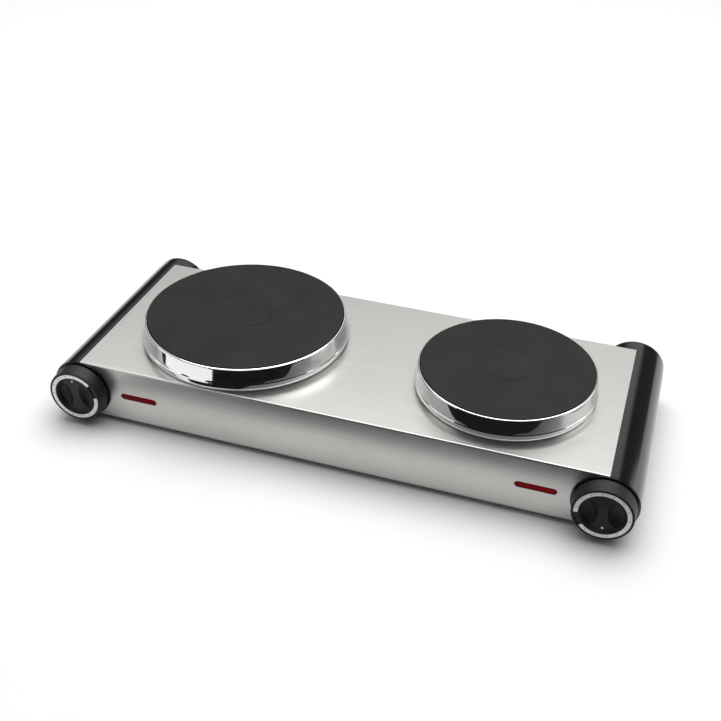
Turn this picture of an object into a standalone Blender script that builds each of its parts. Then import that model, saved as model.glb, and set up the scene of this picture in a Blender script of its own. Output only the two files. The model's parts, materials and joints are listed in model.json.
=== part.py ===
"""Double electric hot plate: a folded steel deck between two round black ends, with a
large and a small cast-iron plate, and a knob-worked thermostat in each end.

Metres, +Z up, origin on the table under the middle of the appliance, front at -Y.
"""

import math

import bmesh
import bpy
from mathutils import Vector

# ---------------------------------------------------------------- driving dimensions
GAP = 0.0003                    # clearance between pieces that touch
RUNNING_GAP = 0.00025           # clearance round a piece that turns

# deck and base
DECK_LENGTH = 0.480             # between the crests of the two round ends
DECK_DEPTH = 0.1934             # outside of the front panel to outside of the rear panel
DECK_TOP = 0.0608               # top of the deck above the table
PANEL_BOTTOM = 0.0060           # lower edge of the front and rear panels
SHEET = 0.0008                  # deck and base sheet
FOLD_RADIUS = 0.0016            # outside of each fold
FLANGE_WIDTH = 0.0100           # return flange under the front and rear panels
BASE_INSET = 0.0012             # base pan's edge inside the panels

# round ends
END_DROP = 0.0022               # how far the round ends reach below the panels
END_WALL = 0.0020
UPPER_TONGUE = 0.0100           # tongue under the deck, measured inwards from the crest
LOWER_TONGUE = 0.0200           # tongue over the base pan
TONGUE_THICKNESS = 0.0020
SPIGOT_STEP = 0.0065            # spigot of bezel and cap, smaller in radius than the end
SPIGOT_WALL = 0.0020
SPIGOT_REACH = 0.0088           # into the housing, from the panel's outer face
BEZEL_STEP = 0.0002             # bezel, smaller in radius than the end
BEZEL_THICKNESS = 0.0010
CAP_STEP = 0.0004
CAP_STANDS_OUT = 0.0158         # cap's outer face behind the rear panel
CAP_WALL = 0.0025
EDGE_ROUND = 0.0015

# plates
PLATES = {                      # name: (centre x, centre y, radius, ring's extra radius)
    "large": (-0.1160, 0.0, 0.0925, 0.0050),
    "small": (0.1352, -0.0040, 0.0775, 0.0034),
}
PLATE_RISE = 0.0231             # plate's top above the deck
PLATE_BODY = 0.0100             # thickness of the iron
PLATE_SKIRT = 0.0140            # depth of the rim under the top
PLATE_SHOULDER = 0.0080         # depth at which the rim steps in on to its ring
SHOULDER_STEP = 0.0030
SKIRT_WALL = 0.0055
DIMPLE_RADIUS = 0.0260          # shallow circle turned in the middle
DIMPLE_DEPTH = 0.0005
BOSS_RADIUS = 0.0100
BOSS_DEPTH = 0.0150
COVER_SHEET = 0.0006            # sheet that closes the plate's underside
RING_SHEET = 0.0006
RING_RISE = 0.0222              # lip's top above the deck
RING_FOOT = 0.0014              # how far the foot stands in from the wall
RING_BAND = 0.0072              # height of the plain band at the foot
LIP_GAP = 0.0006                # between plate and lip
RING_SEAT = 0.0060              # width of the ring's flange on the deck
HOLE_INSET = 0.0120             # deck's hole is smaller than the plate by this
SHIELD_SHEET = 0.0005
SHIELD_DEPTH = 0.0140
SHIELD_RIM = 0.0085
STUD_RADIUS = 0.0030
STUD_LENGTH = 0.0390
BAR_WIDTH = 0.0200
BAR_THICKNESS = 0.0015
NUT_ACROSS = 0.0058             # corner radius of the stud nut
NUT_HEIGHT = 0.0045
BLOCK_SIZE = (0.0220, 0.0140, 0.0180)
BLOCK_OFFSET = 0.0300           # from the stud's axis

# thermostats and knobs
THERMOSTAT_SIZE = (0.0340, 0.0200, 0.0300)
THERMOSTAT_SET_BACK = 0.0127    # front face of the body behind the front panel
BUSH_RADIUS = 0.0045
BUSH_NUT_RADIUS = 0.0070
BUSH_NUT_HEIGHT = 0.0020
SPINDLE_RADIUS = 0.0030
SPINDLE_FLAT = 0.0020           # flat of the D, from the axis
SPINDLE_IN_BODY = 0.0130
BRACKET_SHEET = 0.0012
BRACKET_CLEARANCE = 0.0025      # inside the end cover
BRACKET_FOOT = 0.0230
KNOB_STANDS_OUT = 0.0158        # the knob's face in front of the front panel
KNOB_STEP = 0.0018              # knob's rear edge, smaller in radius than the end
KNOB_TAPER = 0.0012             # and how much smaller it is at the front
KNOB_WALL = 0.0024
KNOB_HOLLOW = 0.0036            # hollow at the back, over the nut
KNOB_BORE_END = 0.0055          # bore stops this far behind the face
KNOB_BOSS = 0.0060
DIAL_BORDER = 0.0020            # black edge outside the bright ring
DIAL_WIDTH = 0.0037
DIAL_THICKNESS = 0.0007
DIAL_GAP_ANGLE = math.radians(36)
DIAL_GAP_FROM_POINTER = math.radians(72)
GRIP_STEP = 0.0024              # slope between the bright ring and the sunk face
GRIP_DEPTH = 0.0026             # grip's face behind the knob's face
SCOOP_OFFSET_SHARE = 0.600      # of the face's radius, from the axis to the scoop's middle
SCOOP_ACROSS_SHARE = 0.355
SCOOP_ALONG_SHARE = 0.660
SCOOP_DEPTH = 0.0046
POINTER_ANGLE = {               # clockwise from the top
    "left": math.radians(-8),
    "right": math.radians(174),
}

# lamps, feet, screws, terminals and leads
LAMP_FROM_END = 0.0570          # lamp's middle, inwards from the crest of its end
LAMP_LENGTH = 0.0360
LAMP_HEIGHT = 0.0062
LENS_RECESS = 0.0003
LENS_DEPTH = 0.0030
LENS_FLANGE = 0.0020
NEON_RADIUS = 0.0026
NEON_LENGTH = 0.0180
FOOT_FROM_END = 0.0120
FOOT_FROM_PANEL = 0.0207
FOOT_RADIUS = 0.0100
FOOT_TIP_RADIUS = 0.0086
FOOT_SINK = 0.0026              # depth of the hole for the screw's head
SCREW_RADIUS = 0.0016
SCREW_HEAD_RADIUS = 0.0034
SCREW_HEAD = 0.0015
FOOT_SCREW_TIP = 0.0030         # how far a foot screw stands through what it holds
BASE_SCREW_X = 0.1000
BASE_SCREW_LENGTH = 0.0070
VENT_LENGTH = 0.0300
VENT_WIDTH = 0.0030
VENT_PITCH = 0.0100
VENT_COUNT = 6
GLAND_X = 0.0
GLAND_RADIUS = 0.0070
GLAND_FLANGE = 0.0095
GLAND_OUT = 0.0040
GLAND_IN = 0.0090
GLAND_BORE = 0.0037
MAINS_SIZE = (0.0400, 0.0180, 0.0160)
MAINS_FROM_PANEL = 0.0307
LEAD_RADIUS = 0.0012
LEAD_STEPS = 3

ROUND_LARGE = 40                # sides of the widest round pieces
ROUND_MEDIUM = 28
ROUND_SMALL = 14
ROUND_SCREW = 10
LIP_STEPS = 4
FILLET_STEPS = 3

# ------------------------------------------------------------------- derived places
END_X = DECK_LENGTH / 2
FRONT_Y = DECK_DEPTH / 2
END_RADIUS = (DECK_TOP - PANEL_BOTTOM + END_DROP) / 2
AXIS_Z = DECK_TOP - END_RADIUS
SPIGOT_RADIUS = END_RADIUS - SPIGOT_STEP
BEZEL_RADIUS = END_RADIUS - BEZEL_STEP
CAP_RADIUS = END_RADIUS - CAP_STEP
REAR_REACH = FRONT_Y + CAP_STANDS_OUT
THERMOSTAT_FRONT = FRONT_Y - THERMOSTAT_SET_BACK
KNOB_FRONT = FRONT_Y + KNOB_STANDS_OUT
KNOB_REAR_RADIUS = END_RADIUS - KNOB_STEP
KNOB_FRONT_RADIUS = KNOB_REAR_RADIUS - KNOB_TAPER
DIAL_OUTER = KNOB_FRONT_RADIUS - DIAL_BORDER
DIAL_INNER = DIAL_OUTER - DIAL_WIDTH
GRIP_RADIUS = DIAL_INNER - GRIP_STEP
SCOOP_OFFSET = GRIP_RADIUS * SCOOP_OFFSET_SHARE
SCOOP_RADII = (GRIP_RADIUS * SCOOP_ACROSS_SHARE, GRIP_RADIUS * SCOOP_ALONG_SHARE, SCOOP_DEPTH)
LAMP_X = END_X - LAMP_FROM_END
FOOT_X = END_X - FOOT_FROM_END
FOOT_Y = FRONT_Y - FOOT_FROM_PANEL
MAINS_Y = FRONT_Y - MAINS_FROM_PANEL
DECK_UNDER = DECK_TOP - SHEET
PLATE_TOP = DECK_TOP + PLATE_RISE
BASE_TOP = PANEL_BOTTOM - GAP
BASE_UNDER = BASE_TOP - SHEET
FLANGE_TOP = PANEL_BOTTOM + SHEET
TONGUE_UNDER = FLANGE_TOP + GAP
TONGUE_TOP = TONGUE_UNDER + TONGUE_THICKNESS
BEZEL_FRONT = FRONT_Y + GAP + BEZEL_THICKNESS
BRACKET_FRONT = FRONT_Y - SPIGOT_REACH - GAP
NUT_FRONT = BEZEL_FRONT + GAP + BUSH_NUT_HEIGHT
KNOB_BACK = BEZEL_FRONT + 3 * GAP
SIDES = {"left": -1, "right": 1}


# ------------------------------------------------------------------------- scene
def clear_scene():
    for item in list(bpy.data.objects):
        bpy.data.objects.remove(item, do_unlink=True)


def new_collection(name):
    made = bpy.data.collections.new(name)
    bpy.context.scene.collection.children.link(made)
    return made


clear_scene()
PARTS = new_collection("hot_plate")
CUTTERS = new_collection("cutters")


def finish(name, colour, roughness, metallic):
    made = bpy.data.materials.new(name)
    made.use_nodes = True
    shader = made.node_tree.nodes["Principled BSDF"]
    shader.inputs["Base Color"].default_value = (*colour, 1.0)
    shader.inputs["Roughness"].default_value = roughness
    shader.inputs["Metallic"].default_value = metallic
    return made


STEEL = finish("brushed_steel", (0.62, 0.62, 0.60), 0.32, 1.0)
PLAIN_STEEL = finish("plain_steel", (0.50, 0.50, 0.50), 0.45, 1.0)
IRON = finish("cast_iron", (0.045, 0.044, 0.042), 0.70, 0.0)
CHROME = finish("chrome", (0.80, 0.80, 0.80), 0.06, 1.0)
GLOSS_BLACK = finish("gloss_black", (0.020, 0.020, 0.021), 0.14, 0.0)
MATT_BLACK = finish("matt_black", (0.040, 0.040, 0.042), 0.50, 0.0)
DIAL_SILVER = finish("dial_silver", (0.75, 0.75, 0.75), 0.25, 1.0)
RED_LENS = finish("red_lens", (0.35, 0.010, 0.012), 0.20, 0.0)
GLASS = finish("lamp_glass", (0.90, 0.85, 0.80), 0.05, 0.0)
CERAMIC = finish("ceramic", (0.80, 0.78, 0.72), 0.55, 0.0)
BAKELITE = finish("bakelite", (0.10, 0.06, 0.04), 0.40, 0.0)
RUBBER = finish("rubber", (0.025, 0.025, 0.025), 0.80, 0.0)
LEAD_SLEEVE = finish("lead_sleeve", (0.70, 0.68, 0.62), 0.60, 0.0)
NYLON = finish("nylon", (0.75, 0.75, 0.72), 0.50, 0.0)


# ------------------------------------------------------------------------- makers
def place(name, mesh, material, collection=None):
    """Link a mesh as a part; without a material it becomes a hidden cutter."""
    item = bpy.data.objects.new(name, mesh)
    if material is None:
        CUTTERS.objects.link(item)
        item.hide_render = True
        item.display_type = "WIRE"
    else:
        PARTS.objects.link(item)
        mesh.materials.append(material)
    return item


def mesh_from(bm, name):
    mesh = bpy.data.meshes.new(name)
    bm.to_mesh(mesh)
    bm.free()
    return mesh


def box(name, low, high, material=None):
    bm = bmesh.new()
    bmesh.ops.create_cube(bm, size=1.0)
    for vertex in bm.verts:
        for axis in range(3):
            middle = (low[axis] + high[axis]) / 2
            vertex.co[axis] = middle + vertex.co[axis] * (high[axis] - low[axis])
    return place(name, mesh_from(bm, name), material)


def rod(name, radius, start, end, material=None, segments=ROUND_SMALL):
    """A cylinder, or with six segments a hexagon, from one point to another."""
    start, end = Vector(start), Vector(end)
    bm = bmesh.new()
    bmesh.ops.create_cone(bm, cap_ends=True, segments=segments, radius1=radius, radius2=radius,
                          depth=(end - start).length)
    turn = Vector((0, 0, 1)).rotation_difference(end - start).to_matrix()
    for vertex in bm.verts:
        vertex.co = turn @ vertex.co + (start + end) / 2
    return place(name, mesh_from(bm, name), material)


def turned(name, profile, material, place_at, closed=False, forward=False, segments=ROUND_LARGE):
    """Turn a profile of (radius, height) about Z, or about -Y when forward is set."""
    points = [(radius, 0, height) for radius, height in profile]
    edges = [(i, i + 1) for i in range(len(points) - 1)]
    if closed:
        edges.append((len(points) - 1, 0))
    mesh = bpy.data.meshes.new(name)
    mesh.from_pydata(points, edges, [])
    item = place(name, mesh, material)
    item.location = place_at
    if forward:
        item.rotation_euler = (math.pi / 2, 0, 0)
    screw = item.modifiers.new("turn", "SCREW")
    screw.steps = screw.render_steps = segments
    screw.use_merge_vertices = True
    screw.merge_threshold = 0.00001
    screw.use_smooth_shade = True
    return item


def sheet_wall(item, thickness):
    wall = item.modifiers.new("sheet", "SOLIDIFY")
    wall.thickness = thickness
    wall.offset = -1
    wall.use_even_offset = True


def prism(name, outline, near, far, material=None):
    """Extrude an outline of (x, z) points along Y, from y = near to y = far."""
    curve = bpy.data.curves.new(name, "CURVE")
    curve.dimensions = "2D"
    curve.fill_mode = "BOTH"
    curve.extrude = (far - near) / 2
    spline = curve.splines.new("POLY")
    spline.points.add(len(outline) - 1)
    for point, (x, z) in zip(spline.points, outline):
        point.co = (x, z, 0, 1)
    spline.use_cyclic_u = True
    draft = bpy.data.objects.new(name + "_draft", curve)
    CUTTERS.objects.link(draft)
    draft.rotation_euler = (math.pi / 2, 0, 0)
    draft.location = (0, (near + far) / 2, 0)
    bpy.context.view_layer.update()
    evaluated = draft.evaluated_get(bpy.context.evaluated_depsgraph_get())
    mesh = bpy.data.meshes.new_from_object(evaluated)
    bm = bmesh.new()
    bm.from_mesh(mesh)
    bmesh.ops.remove_doubles(bm, verts=bm.verts, dist=0.000001)
    bmesh.ops.recalc_face_normals(bm, faces=bm.faces)
    bm.to_mesh(mesh)
    bm.free()
    mesh.name = name
    item = place(name, mesh, material)
    item.matrix_world = draft.matrix_world
    bpy.data.objects.remove(draft, do_unlink=True)
    return item


def cut(target, *cutters):
    for cutter in cutters:
        step = target.modifiers.new("cut", "BOOLEAN")
        step.operation = "DIFFERENCE"
        step.object = cutter


def unite(target, *others):
    for other in others:
        step = target.modifiers.new("unite", "BOOLEAN")
        step.operation = "UNION"
        step.object = other


def arc(centre, radius, start, end, steps):
    """Points on an arc; angles in degrees, anticlockwise from +X."""
    angles = [math.radians(start + (end - start) * i / steps) for i in range(steps + 1)]
    return [(centre[0] + radius * math.cos(a), centre[1] + radius * math.sin(a)) for a in angles]


def rounded(points, radius, steps=FILLET_STEPS):
    """An open path with each inner corner replaced by an arc."""
    path = [points[0]]
    for before, corner, after in zip(points, points[1:], points[2:]):
        corner = Vector(corner)
        inwards = (Vector(before) - corner).normalized()
        outwards = (Vector(after) - corner).normalized()
        half = inwards.angle(outwards) / 2
        centre = corner + (inwards + outwards).normalized() * radius / math.sin(half)
        first = (corner + inwards * radius / math.tan(half) - centre).normalized()
        last = (corner + outwards * radius / math.tan(half) - centre).normalized()
        for i in range(steps + 1):
            path.append(tuple(centre + first.slerp(last, i / steps) * radius))
    path.append(points[-1])
    return path


def stadium(x, z, length, height, steps=2 * FILLET_STEPS):
    """A slot's outline, with half-round ends."""
    radius = height / 2
    reach = length / 2 - radius
    return (arc((x + reach, z), radius, -90, 90, steps) + arc((x - reach, z), radius, 90, 270, steps))


# ------------------------------------------------------------------------ housing
def deck():
    section = rounded([(-FRONT_Y + FLANGE_WIDTH, PANEL_BOTTOM), (-FRONT_Y, PANEL_BOTTOM),
                       (-FRONT_Y, DECK_TOP), (FRONT_Y, DECK_TOP),
                       (FRONT_Y, PANEL_BOTTOM), (FRONT_Y - FLANGE_WIDTH, PANEL_BOTTOM)], FOLD_RADIUS)
    points = [(x, y, z) for y, z in section for x in (-END_X, END_X)]
    faces = [(2 * i, 2 * i + 1, 2 * i + 3, 2 * i + 2) for i in range(len(section) - 1)]
    mesh = bpy.data.meshes.new("deck")
    mesh.from_pydata(points, [], faces)
    item = place("deck", mesh, STEEL)
    sheet_wall(item, SHEET)
    for name, (x, y, radius, _) in PLATES.items():
        cut(item, rod(name + "_deck_hole", radius - HOLE_INSET, (x, y, DECK_UNDER - SHEET),
                      (x, y, DECK_TOP + SHEET), segments=ROUND_LARGE))
    for side, sign in SIDES.items():
        cut(item, prism(side + "_lamp_slot", stadium(sign * LAMP_X, AXIS_Z, LAMP_LENGTH, LAMP_HEIGHT),
                        -FRONT_Y - SHEET, -FRONT_Y + 2 * SHEET))
        for end, face in (("front", -1), ("rear", 1)):
            cut(item, rod(f"{side}_{end}_notch", SPIGOT_RADIUS + GAP,
                          (sign * END_X, face * (FRONT_Y + SHEET), AXIS_Z),
                          (sign * END_X, face * (FRONT_Y - 2 * SHEET), AXIS_Z), segments=ROUND_MEDIUM))
            cut(item, rod(f"{side}_{end}_flange_hole", SCREW_RADIUS + GAP,
                          (sign * BASE_SCREW_X, face * base_screw_y(), PANEL_BOTTOM - SHEET),
                          (sign * BASE_SCREW_X, face * base_screw_y(), FLANGE_TOP + SHEET)))
    cut(item, rod("gland_hole", GLAND_RADIUS + GAP, (GLAND_X, FRONT_Y - 2 * SHEET, AXIS_Z),
                  (GLAND_X, FRONT_Y + SHEET, AXIS_Z)))


def base_screw_y():
    return FRONT_Y - FLANGE_WIDTH / 2


def base_pan():
    depth = FRONT_Y - BASE_INSET
    item = box("base_pan", (-END_X + GAP, -depth, BASE_UNDER), (END_X - GAP, depth, BASE_TOP), PLAIN_STEEL)
    for side, sign in SIDES.items():
        for end, face in (("front", -1), ("rear", 1)):
            for label, x, y in (("foot", FOOT_X, FOOT_Y), ("base", BASE_SCREW_X, base_screw_y())):
                cut(item, rod(f"{side}_{end}_{label}_hole", SCREW_RADIUS + GAP,
                              (sign * x, face * y, BASE_UNDER - SHEET),
                              (sign * x, face * y, BASE_TOP + SHEET)))
    for name, (x, y, _, _) in PLATES.items():
        for i in range(VENT_COUNT):
            vent_y = y + (i - (VENT_COUNT - 1) / 2) * VENT_PITCH
            cut(item, box(f"{name}_vent_{i}",
                          (x - VENT_LENGTH / 2, vent_y - VENT_WIDTH / 2, BASE_UNDER - SHEET),
                          (x + VENT_LENGTH / 2, vent_y + VENT_WIDTH / 2, BASE_TOP + SHEET)))


def end_outline(sign):
    """Half-round section with a tongue under the deck and one over the base pan."""
    centre = (END_X, AXIS_Z)
    inner = END_RADIUS - END_WALL
    crest = END_X + GAP
    tongue_high = DECK_UNDER - GAP
    tongue_low = tongue_high - TONGUE_THICKNESS
    start = math.degrees(math.acos(GAP / END_RADIUS))
    upper = math.degrees(math.asin((tongue_low - AXIS_Z) / inner))
    lower = math.degrees(math.asin((TONGUE_TOP - AXIS_Z) / inner))
    outline = arc(centre, END_RADIUS, start, -start, ROUND_MEDIUM // 2)
    outline += [(crest, TONGUE_UNDER), (END_X - LOWER_TONGUE, TONGUE_UNDER),
                (END_X - LOWER_TONGUE, TONGUE_TOP)]
    outline += arc(centre, inner, lower, upper, ROUND_SMALL)
    outline += [(END_X - UPPER_TONGUE, tongue_low), (END_X - UPPER_TONGUE, tongue_high),
                (crest, tongue_high)]
    return [(sign * x, z) for x, z in outline]


def end_cover(side, sign):
    item = prism(side + "_end_cover", end_outline(sign), -FRONT_Y, FRONT_Y, GLOSS_BLACK)
    inside = sorted((sign * (END_X - LOWER_TONGUE - GAP), sign * (END_X + GAP)))
    for end, face in (("front", -1), ("rear", 1)):
        reach = sorted((face * (FRONT_Y - SHEET - GAP), face * (FRONT_Y + SHEET)))
        cut(item, box(f"{side}_{end}_tongue_end", (inside[0], reach[0], 0),
                      (inside[1], reach[1], DECK_TOP + SHEET)))
        cut(item, rod(f"{side}_{end}_cover_hole", SCREW_RADIUS + GAP,
                      (sign * FOOT_X, face * FOOT_Y, TONGUE_UNDER - SHEET),
                      (sign * FOOT_X, face * FOOT_Y, TONGUE_TOP + SHEET)))


def front_bezel(side, sign):
    back = FRONT_Y - SPIGOT_REACH
    inner = SPIGOT_RADIUS - SPIGOT_WALL
    profile = [(BUSH_RADIUS + GAP, BEZEL_FRONT), (BEZEL_RADIUS - EDGE_ROUND / 2, BEZEL_FRONT),
               (BEZEL_RADIUS, BEZEL_FRONT - EDGE_ROUND / 2), (BEZEL_RADIUS, FRONT_Y + GAP),
               (SPIGOT_RADIUS, FRONT_Y + GAP), (SPIGOT_RADIUS, back), (inner, back),
               (inner, FRONT_Y + GAP), (BUSH_RADIUS + GAP, FRONT_Y + GAP)]
    turned(side + "_front_bezel", profile, GLOSS_BLACK, (sign * END_X, 0, AXIS_Z), closed=True,
           forward=True, segments=ROUND_MEDIUM)


def rear_cap(side, sign):
    """Heights run forwards, so the cap's back face is the lowest point of its profile."""
    front = -(FRONT_Y - SPIGOT_REACH)
    face = -(FRONT_Y + GAP)
    inner = SPIGOT_RADIUS - SPIGOT_WALL
    profile = [(inner, front), (SPIGOT_RADIUS, front), (SPIGOT_RADIUS, face), (CAP_RADIUS, face)]
    profile += arc((CAP_RADIUS - EDGE_ROUND, -REAR_REACH + EDGE_ROUND), EDGE_ROUND, 0, -90, FILLET_STEPS)
    profile += [(0, -REAR_REACH), (0, -REAR_REACH + CAP_WALL), (inner, -REAR_REACH + CAP_WALL),
                (inner, front)]
    turned(side + "_rear_cap", profile[:-1], GLOSS_BLACK, (sign * END_X, 0, AXIS_Z), closed=True,
           forward=True, segments=ROUND_MEDIUM)


# ------------------------------------------------------------------------- plates
def iron_plate(name, x, y, radius):
    top = PLATE_TOP
    skirt = radius - SHOULDER_STEP
    profile = [(0, top - DIMPLE_DEPTH), (DIMPLE_RADIUS - 2 * DIMPLE_DEPTH, top - DIMPLE_DEPTH),
               (DIMPLE_RADIUS, top)]
    profile += arc((radius - EDGE_ROUND, top - EDGE_ROUND), EDGE_ROUND, 90, 0, FILLET_STEPS)
    profile += [(radius, top - PLATE_SHOULDER), (skirt, top - PLATE_SHOULDER), (skirt, top - PLATE_SKIRT),
                (skirt - SKIRT_WALL, top - PLATE_SKIRT), (skirt - SKIRT_WALL, top - PLATE_BODY),
                (BOSS_RADIUS, top - PLATE_BODY), (BOSS_RADIUS, top - BOSS_DEPTH),
                (STUD_RADIUS + GAP, top - BOSS_DEPTH), (STUD_RADIUS + GAP, top - PLATE_BODY),
                (0, top - PLATE_BODY)]
    turned(name + "_hotplate", profile, IRON, (x, y, 0))


def plate_cover(name, x, y, radius):
    """Sheet disc inside the plate's skirt, with a hole round the boss."""
    outer = radius - SHOULDER_STEP - SKIRT_WALL - GAP
    high = PLATE_TOP - PLATE_SKIRT + COVER_SHEET
    low = PLATE_TOP - PLATE_SKIRT
    profile = [(BOSS_RADIUS + GAP, high), (outer, high), (outer, low), (BOSS_RADIUS + GAP, low)]
    turned(name + "_plate_cover", profile, PLAIN_STEEL, (x, y, 0), closed=True)


def trim_ring(name, x, y, radius, extra):
    """One bright sheet: seat under the plate's rim, rolled lip, wall, and foot on the deck."""
    wall = radius + extra
    shoulder = PLATE_TOP - PLATE_SHOULDER - GAP
    lip = DECK_TOP + RING_RISE
    foot = DECK_TOP + GAP
    lip_radius = (extra - LIP_GAP) / 2
    profile = [(radius - SHOULDER_STEP + GAP, shoulder), (radius + LIP_GAP, shoulder)]
    profile += arc((wall - lip_radius, lip - lip_radius), lip_radius, 180, 0, LIP_STEPS)
    profile += [(wall, DECK_TOP + RING_BAND), (wall - RING_FOOT, foot + RING_SHEET / 2),
                (wall - RING_FOOT - RING_SHEET / 2, foot), (radius - RING_SEAT, foot)]
    item = turned(name + "_trim_ring", profile, CHROME, (x, y, 0))
    sheet_wall(item, RING_SHEET)


def heat_shield(name, x, y, radius):
    """Shallow dish that hangs under the deck's hole."""
    rim = DECK_UNDER - GAP
    inner = radius - HOLE_INSET + SHIELD_RIM - 2 * EDGE_ROUND
    floor = rim - SHIELD_DEPTH
    profile = [(STUD_RADIUS + GAP, floor + SHIELD_SHEET),
               (inner - SHIELD_RIM - SHIELD_DEPTH / 2, floor + SHIELD_SHEET),
               (inner - SHIELD_RIM, rim), (inner, rim), (inner, rim - SHIELD_SHEET),
               (inner - SHIELD_RIM + SHIELD_SHEET, rim - SHIELD_SHEET),
               (inner - SHIELD_RIM - SHIELD_DEPTH / 2 + SHIELD_SHEET, floor), (STUD_RADIUS + GAP, floor)]
    item = turned(name + "_heat_shield", profile, PLAIN_STEEL, (x, y, 0), closed=True)
    size = BLOCK_SIZE
    centre = x + BLOCK_OFFSET
    cut(item, box(name + "_shield_window",
                  (centre - size[0] / 2 - GAP, y - size[1] / 2 - GAP, floor - SHIELD_DEPTH),
                  (centre + size[0] / 2 + GAP, y + size[1] / 2 + GAP, floor + SHIELD_DEPTH / 2)))
    return floor


def plate_fixings(name, x, y, radius, floor):
    """Stud, clamp bar and nut that pull the plate down on to the deck."""
    stud_top = PLATE_TOP - PLATE_BODY - GAP
    rod(name + "_plate_stud", STUD_RADIUS, (x, y, stud_top - STUD_LENGTH), (x, y, stud_top), PLAIN_STEEL)
    bar_top = floor - GAP
    bar_low = bar_top - BAR_THICKNESS
    half = radius - HOLE_INSET - SHIELD_DEPTH
    bar = box(name + "_clamp_bar", (x - BAR_WIDTH / 2, y - half, bar_low),
              (x + BAR_WIDTH / 2, y + half, bar_top), PLAIN_STEEL)
    cut(bar, rod(name + "_bar_hole", STUD_RADIUS + GAP, (x, y, bar_low - SHEET), (x, y, bar_top + SHEET)))
    nut = rod(name + "_stud_nut", NUT_ACROSS, (x, y, bar_low - GAP - NUT_HEIGHT), (x, y, bar_low - GAP),
              PLAIN_STEEL, segments=6)
    cut(nut, rod(name + "_nut_hole", STUD_RADIUS + GAP, (x, y, bar_low - 2 * NUT_HEIGHT), (x, y, bar_top)))


def plate_block_low():
    return PLATE_TOP - PLATE_SKIRT - GAP - 2 * BLOCK_SIZE[2]


def plate_terminal(name, x, y):
    """Ceramic block on a stem that hangs from the plate's cover through the shield."""
    size = BLOCK_SIZE
    centre = x + BLOCK_OFFSET
    top = PLATE_TOP - PLATE_SKIRT - GAP
    low = plate_block_low()
    box(name + "_terminal_block", (centre - size[0] / 2, y - size[1] / 2, low),
        (centre + size[0] / 2, y + size[1] / 2, top), CERAMIC)


# -------------------------------------------------------------- thermostats and knobs
def thermostat(side, sign):
    x = sign * END_X
    width, depth, height = THERMOSTAT_SIZE
    body = box(side + "_thermostat", (x - width / 2, -THERMOSTAT_FRONT, AXIS_Z - height / 2),
               (x + width / 2, -THERMOSTAT_FRONT + depth, AXIS_Z + height / 2), BAKELITE)
    unite(body, rod(side + "_bush", BUSH_RADIUS, (x, -NUT_FRONT, AXIS_Z),
                    (x, -THERMOSTAT_FRONT + GAP, AXIS_Z)))
    cut(body, rod(side + "_spindle_bore", SPINDLE_RADIUS + RUNNING_GAP, (x, -NUT_FRONT - GAP, AXIS_Z),
                  (x, -THERMOSTAT_FRONT + SPINDLE_IN_BODY + GAP, AXIS_Z)))
    nut = rod(side + "_bush_nut", BUSH_NUT_RADIUS, (x, -NUT_FRONT, AXIS_Z),
              (x, -NUT_FRONT + BUSH_NUT_HEIGHT, AXIS_Z), PLAIN_STEEL, segments=6)
    cut(nut, rod(side + "_bush_nut_hole", BUSH_RADIUS + GAP, (x, -NUT_FRONT - GAP, AXIS_Z),
                 (x, -NUT_FRONT + 2 * BUSH_NUT_HEIGHT, AXIS_Z)))


def bracket(side, sign):
    """Round upright behind the bezel and a foot on the end cover's tongue."""
    x = sign * END_X
    low = TONGUE_TOP + GAP
    front = -BRACKET_FRONT
    radius = END_RADIUS - END_WALL - BRACKET_CLEARANCE
    joint_z = low + BRACKET_SHEET / 2
    dip = math.degrees(math.asin((AXIS_Z - joint_z) / radius))
    inner = sorted((x - sign * (LOWER_TONGUE - GAP), x + sign * SPINDLE_RADIUS))
    item = box(side + "_thermostat_bracket", (inner[0], front, low),
               (inner[1], front + BRACKET_FOOT, low + BRACKET_SHEET), PLAIN_STEEL)
    unite(item, prism(side + "_bracket_upright", arc((x, AXIS_Z), radius, -dip, 180 + dip, ROUND_MEDIUM),
                      front, front + BRACKET_SHEET))
    cut(item, rod(side + "_bracket_bore", BUSH_RADIUS + GAP, (x, front - GAP, AXIS_Z),
                  (x, front + 2 * BRACKET_SHEET, AXIS_Z)))
    cut(item, rod(side + "_bracket_hole", SCREW_RADIUS + GAP, (sign * FOOT_X, -FOOT_Y, low - SHEET),
                  (sign * FOOT_X, -FOOT_Y, low + BRACKET_SHEET + SHEET)))


def d_outline(centre_x, radius, flat, angle):
    """A D shape whose flat faces the given direction, clockwise from the top."""
    half = math.degrees(math.acos(flat / radius))
    facing = 90 - math.degrees(angle)
    return arc((centre_x, AXIS_Z), radius, facing + half, facing + 360 - half, ROUND_SMALL)


def spindle(side, sign):
    x = sign * END_X
    flat_start = NUT_FRONT + GAP
    tip = KNOB_FRONT - KNOB_BORE_END - GAP
    item = rod(side + "_spindle", SPINDLE_RADIUS, (x, -flat_start, AXIS_Z),
               (x, -THERMOSTAT_FRONT + SPINDLE_IN_BODY, AXIS_Z), PLAIN_STEEL)
    shaft = d_outline(x, SPINDLE_RADIUS - GAP / 10, SPINDLE_FLAT, POINTER_ANGLE[side])
    unite(item, prism(side + "_spindle_tip", shaft, -tip, -flat_start + GAP))
    centre_on_axis(item, x)


def centre_on_axis(item, x):
    """Put a moving piece's origin on its joint's axis and leave its shape where it is."""
    for vertex in item.data.vertices:
        vertex.co -= Vector((x, 0, AXIS_Z))
    item.location = (x, 0, AXIS_Z)


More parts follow.
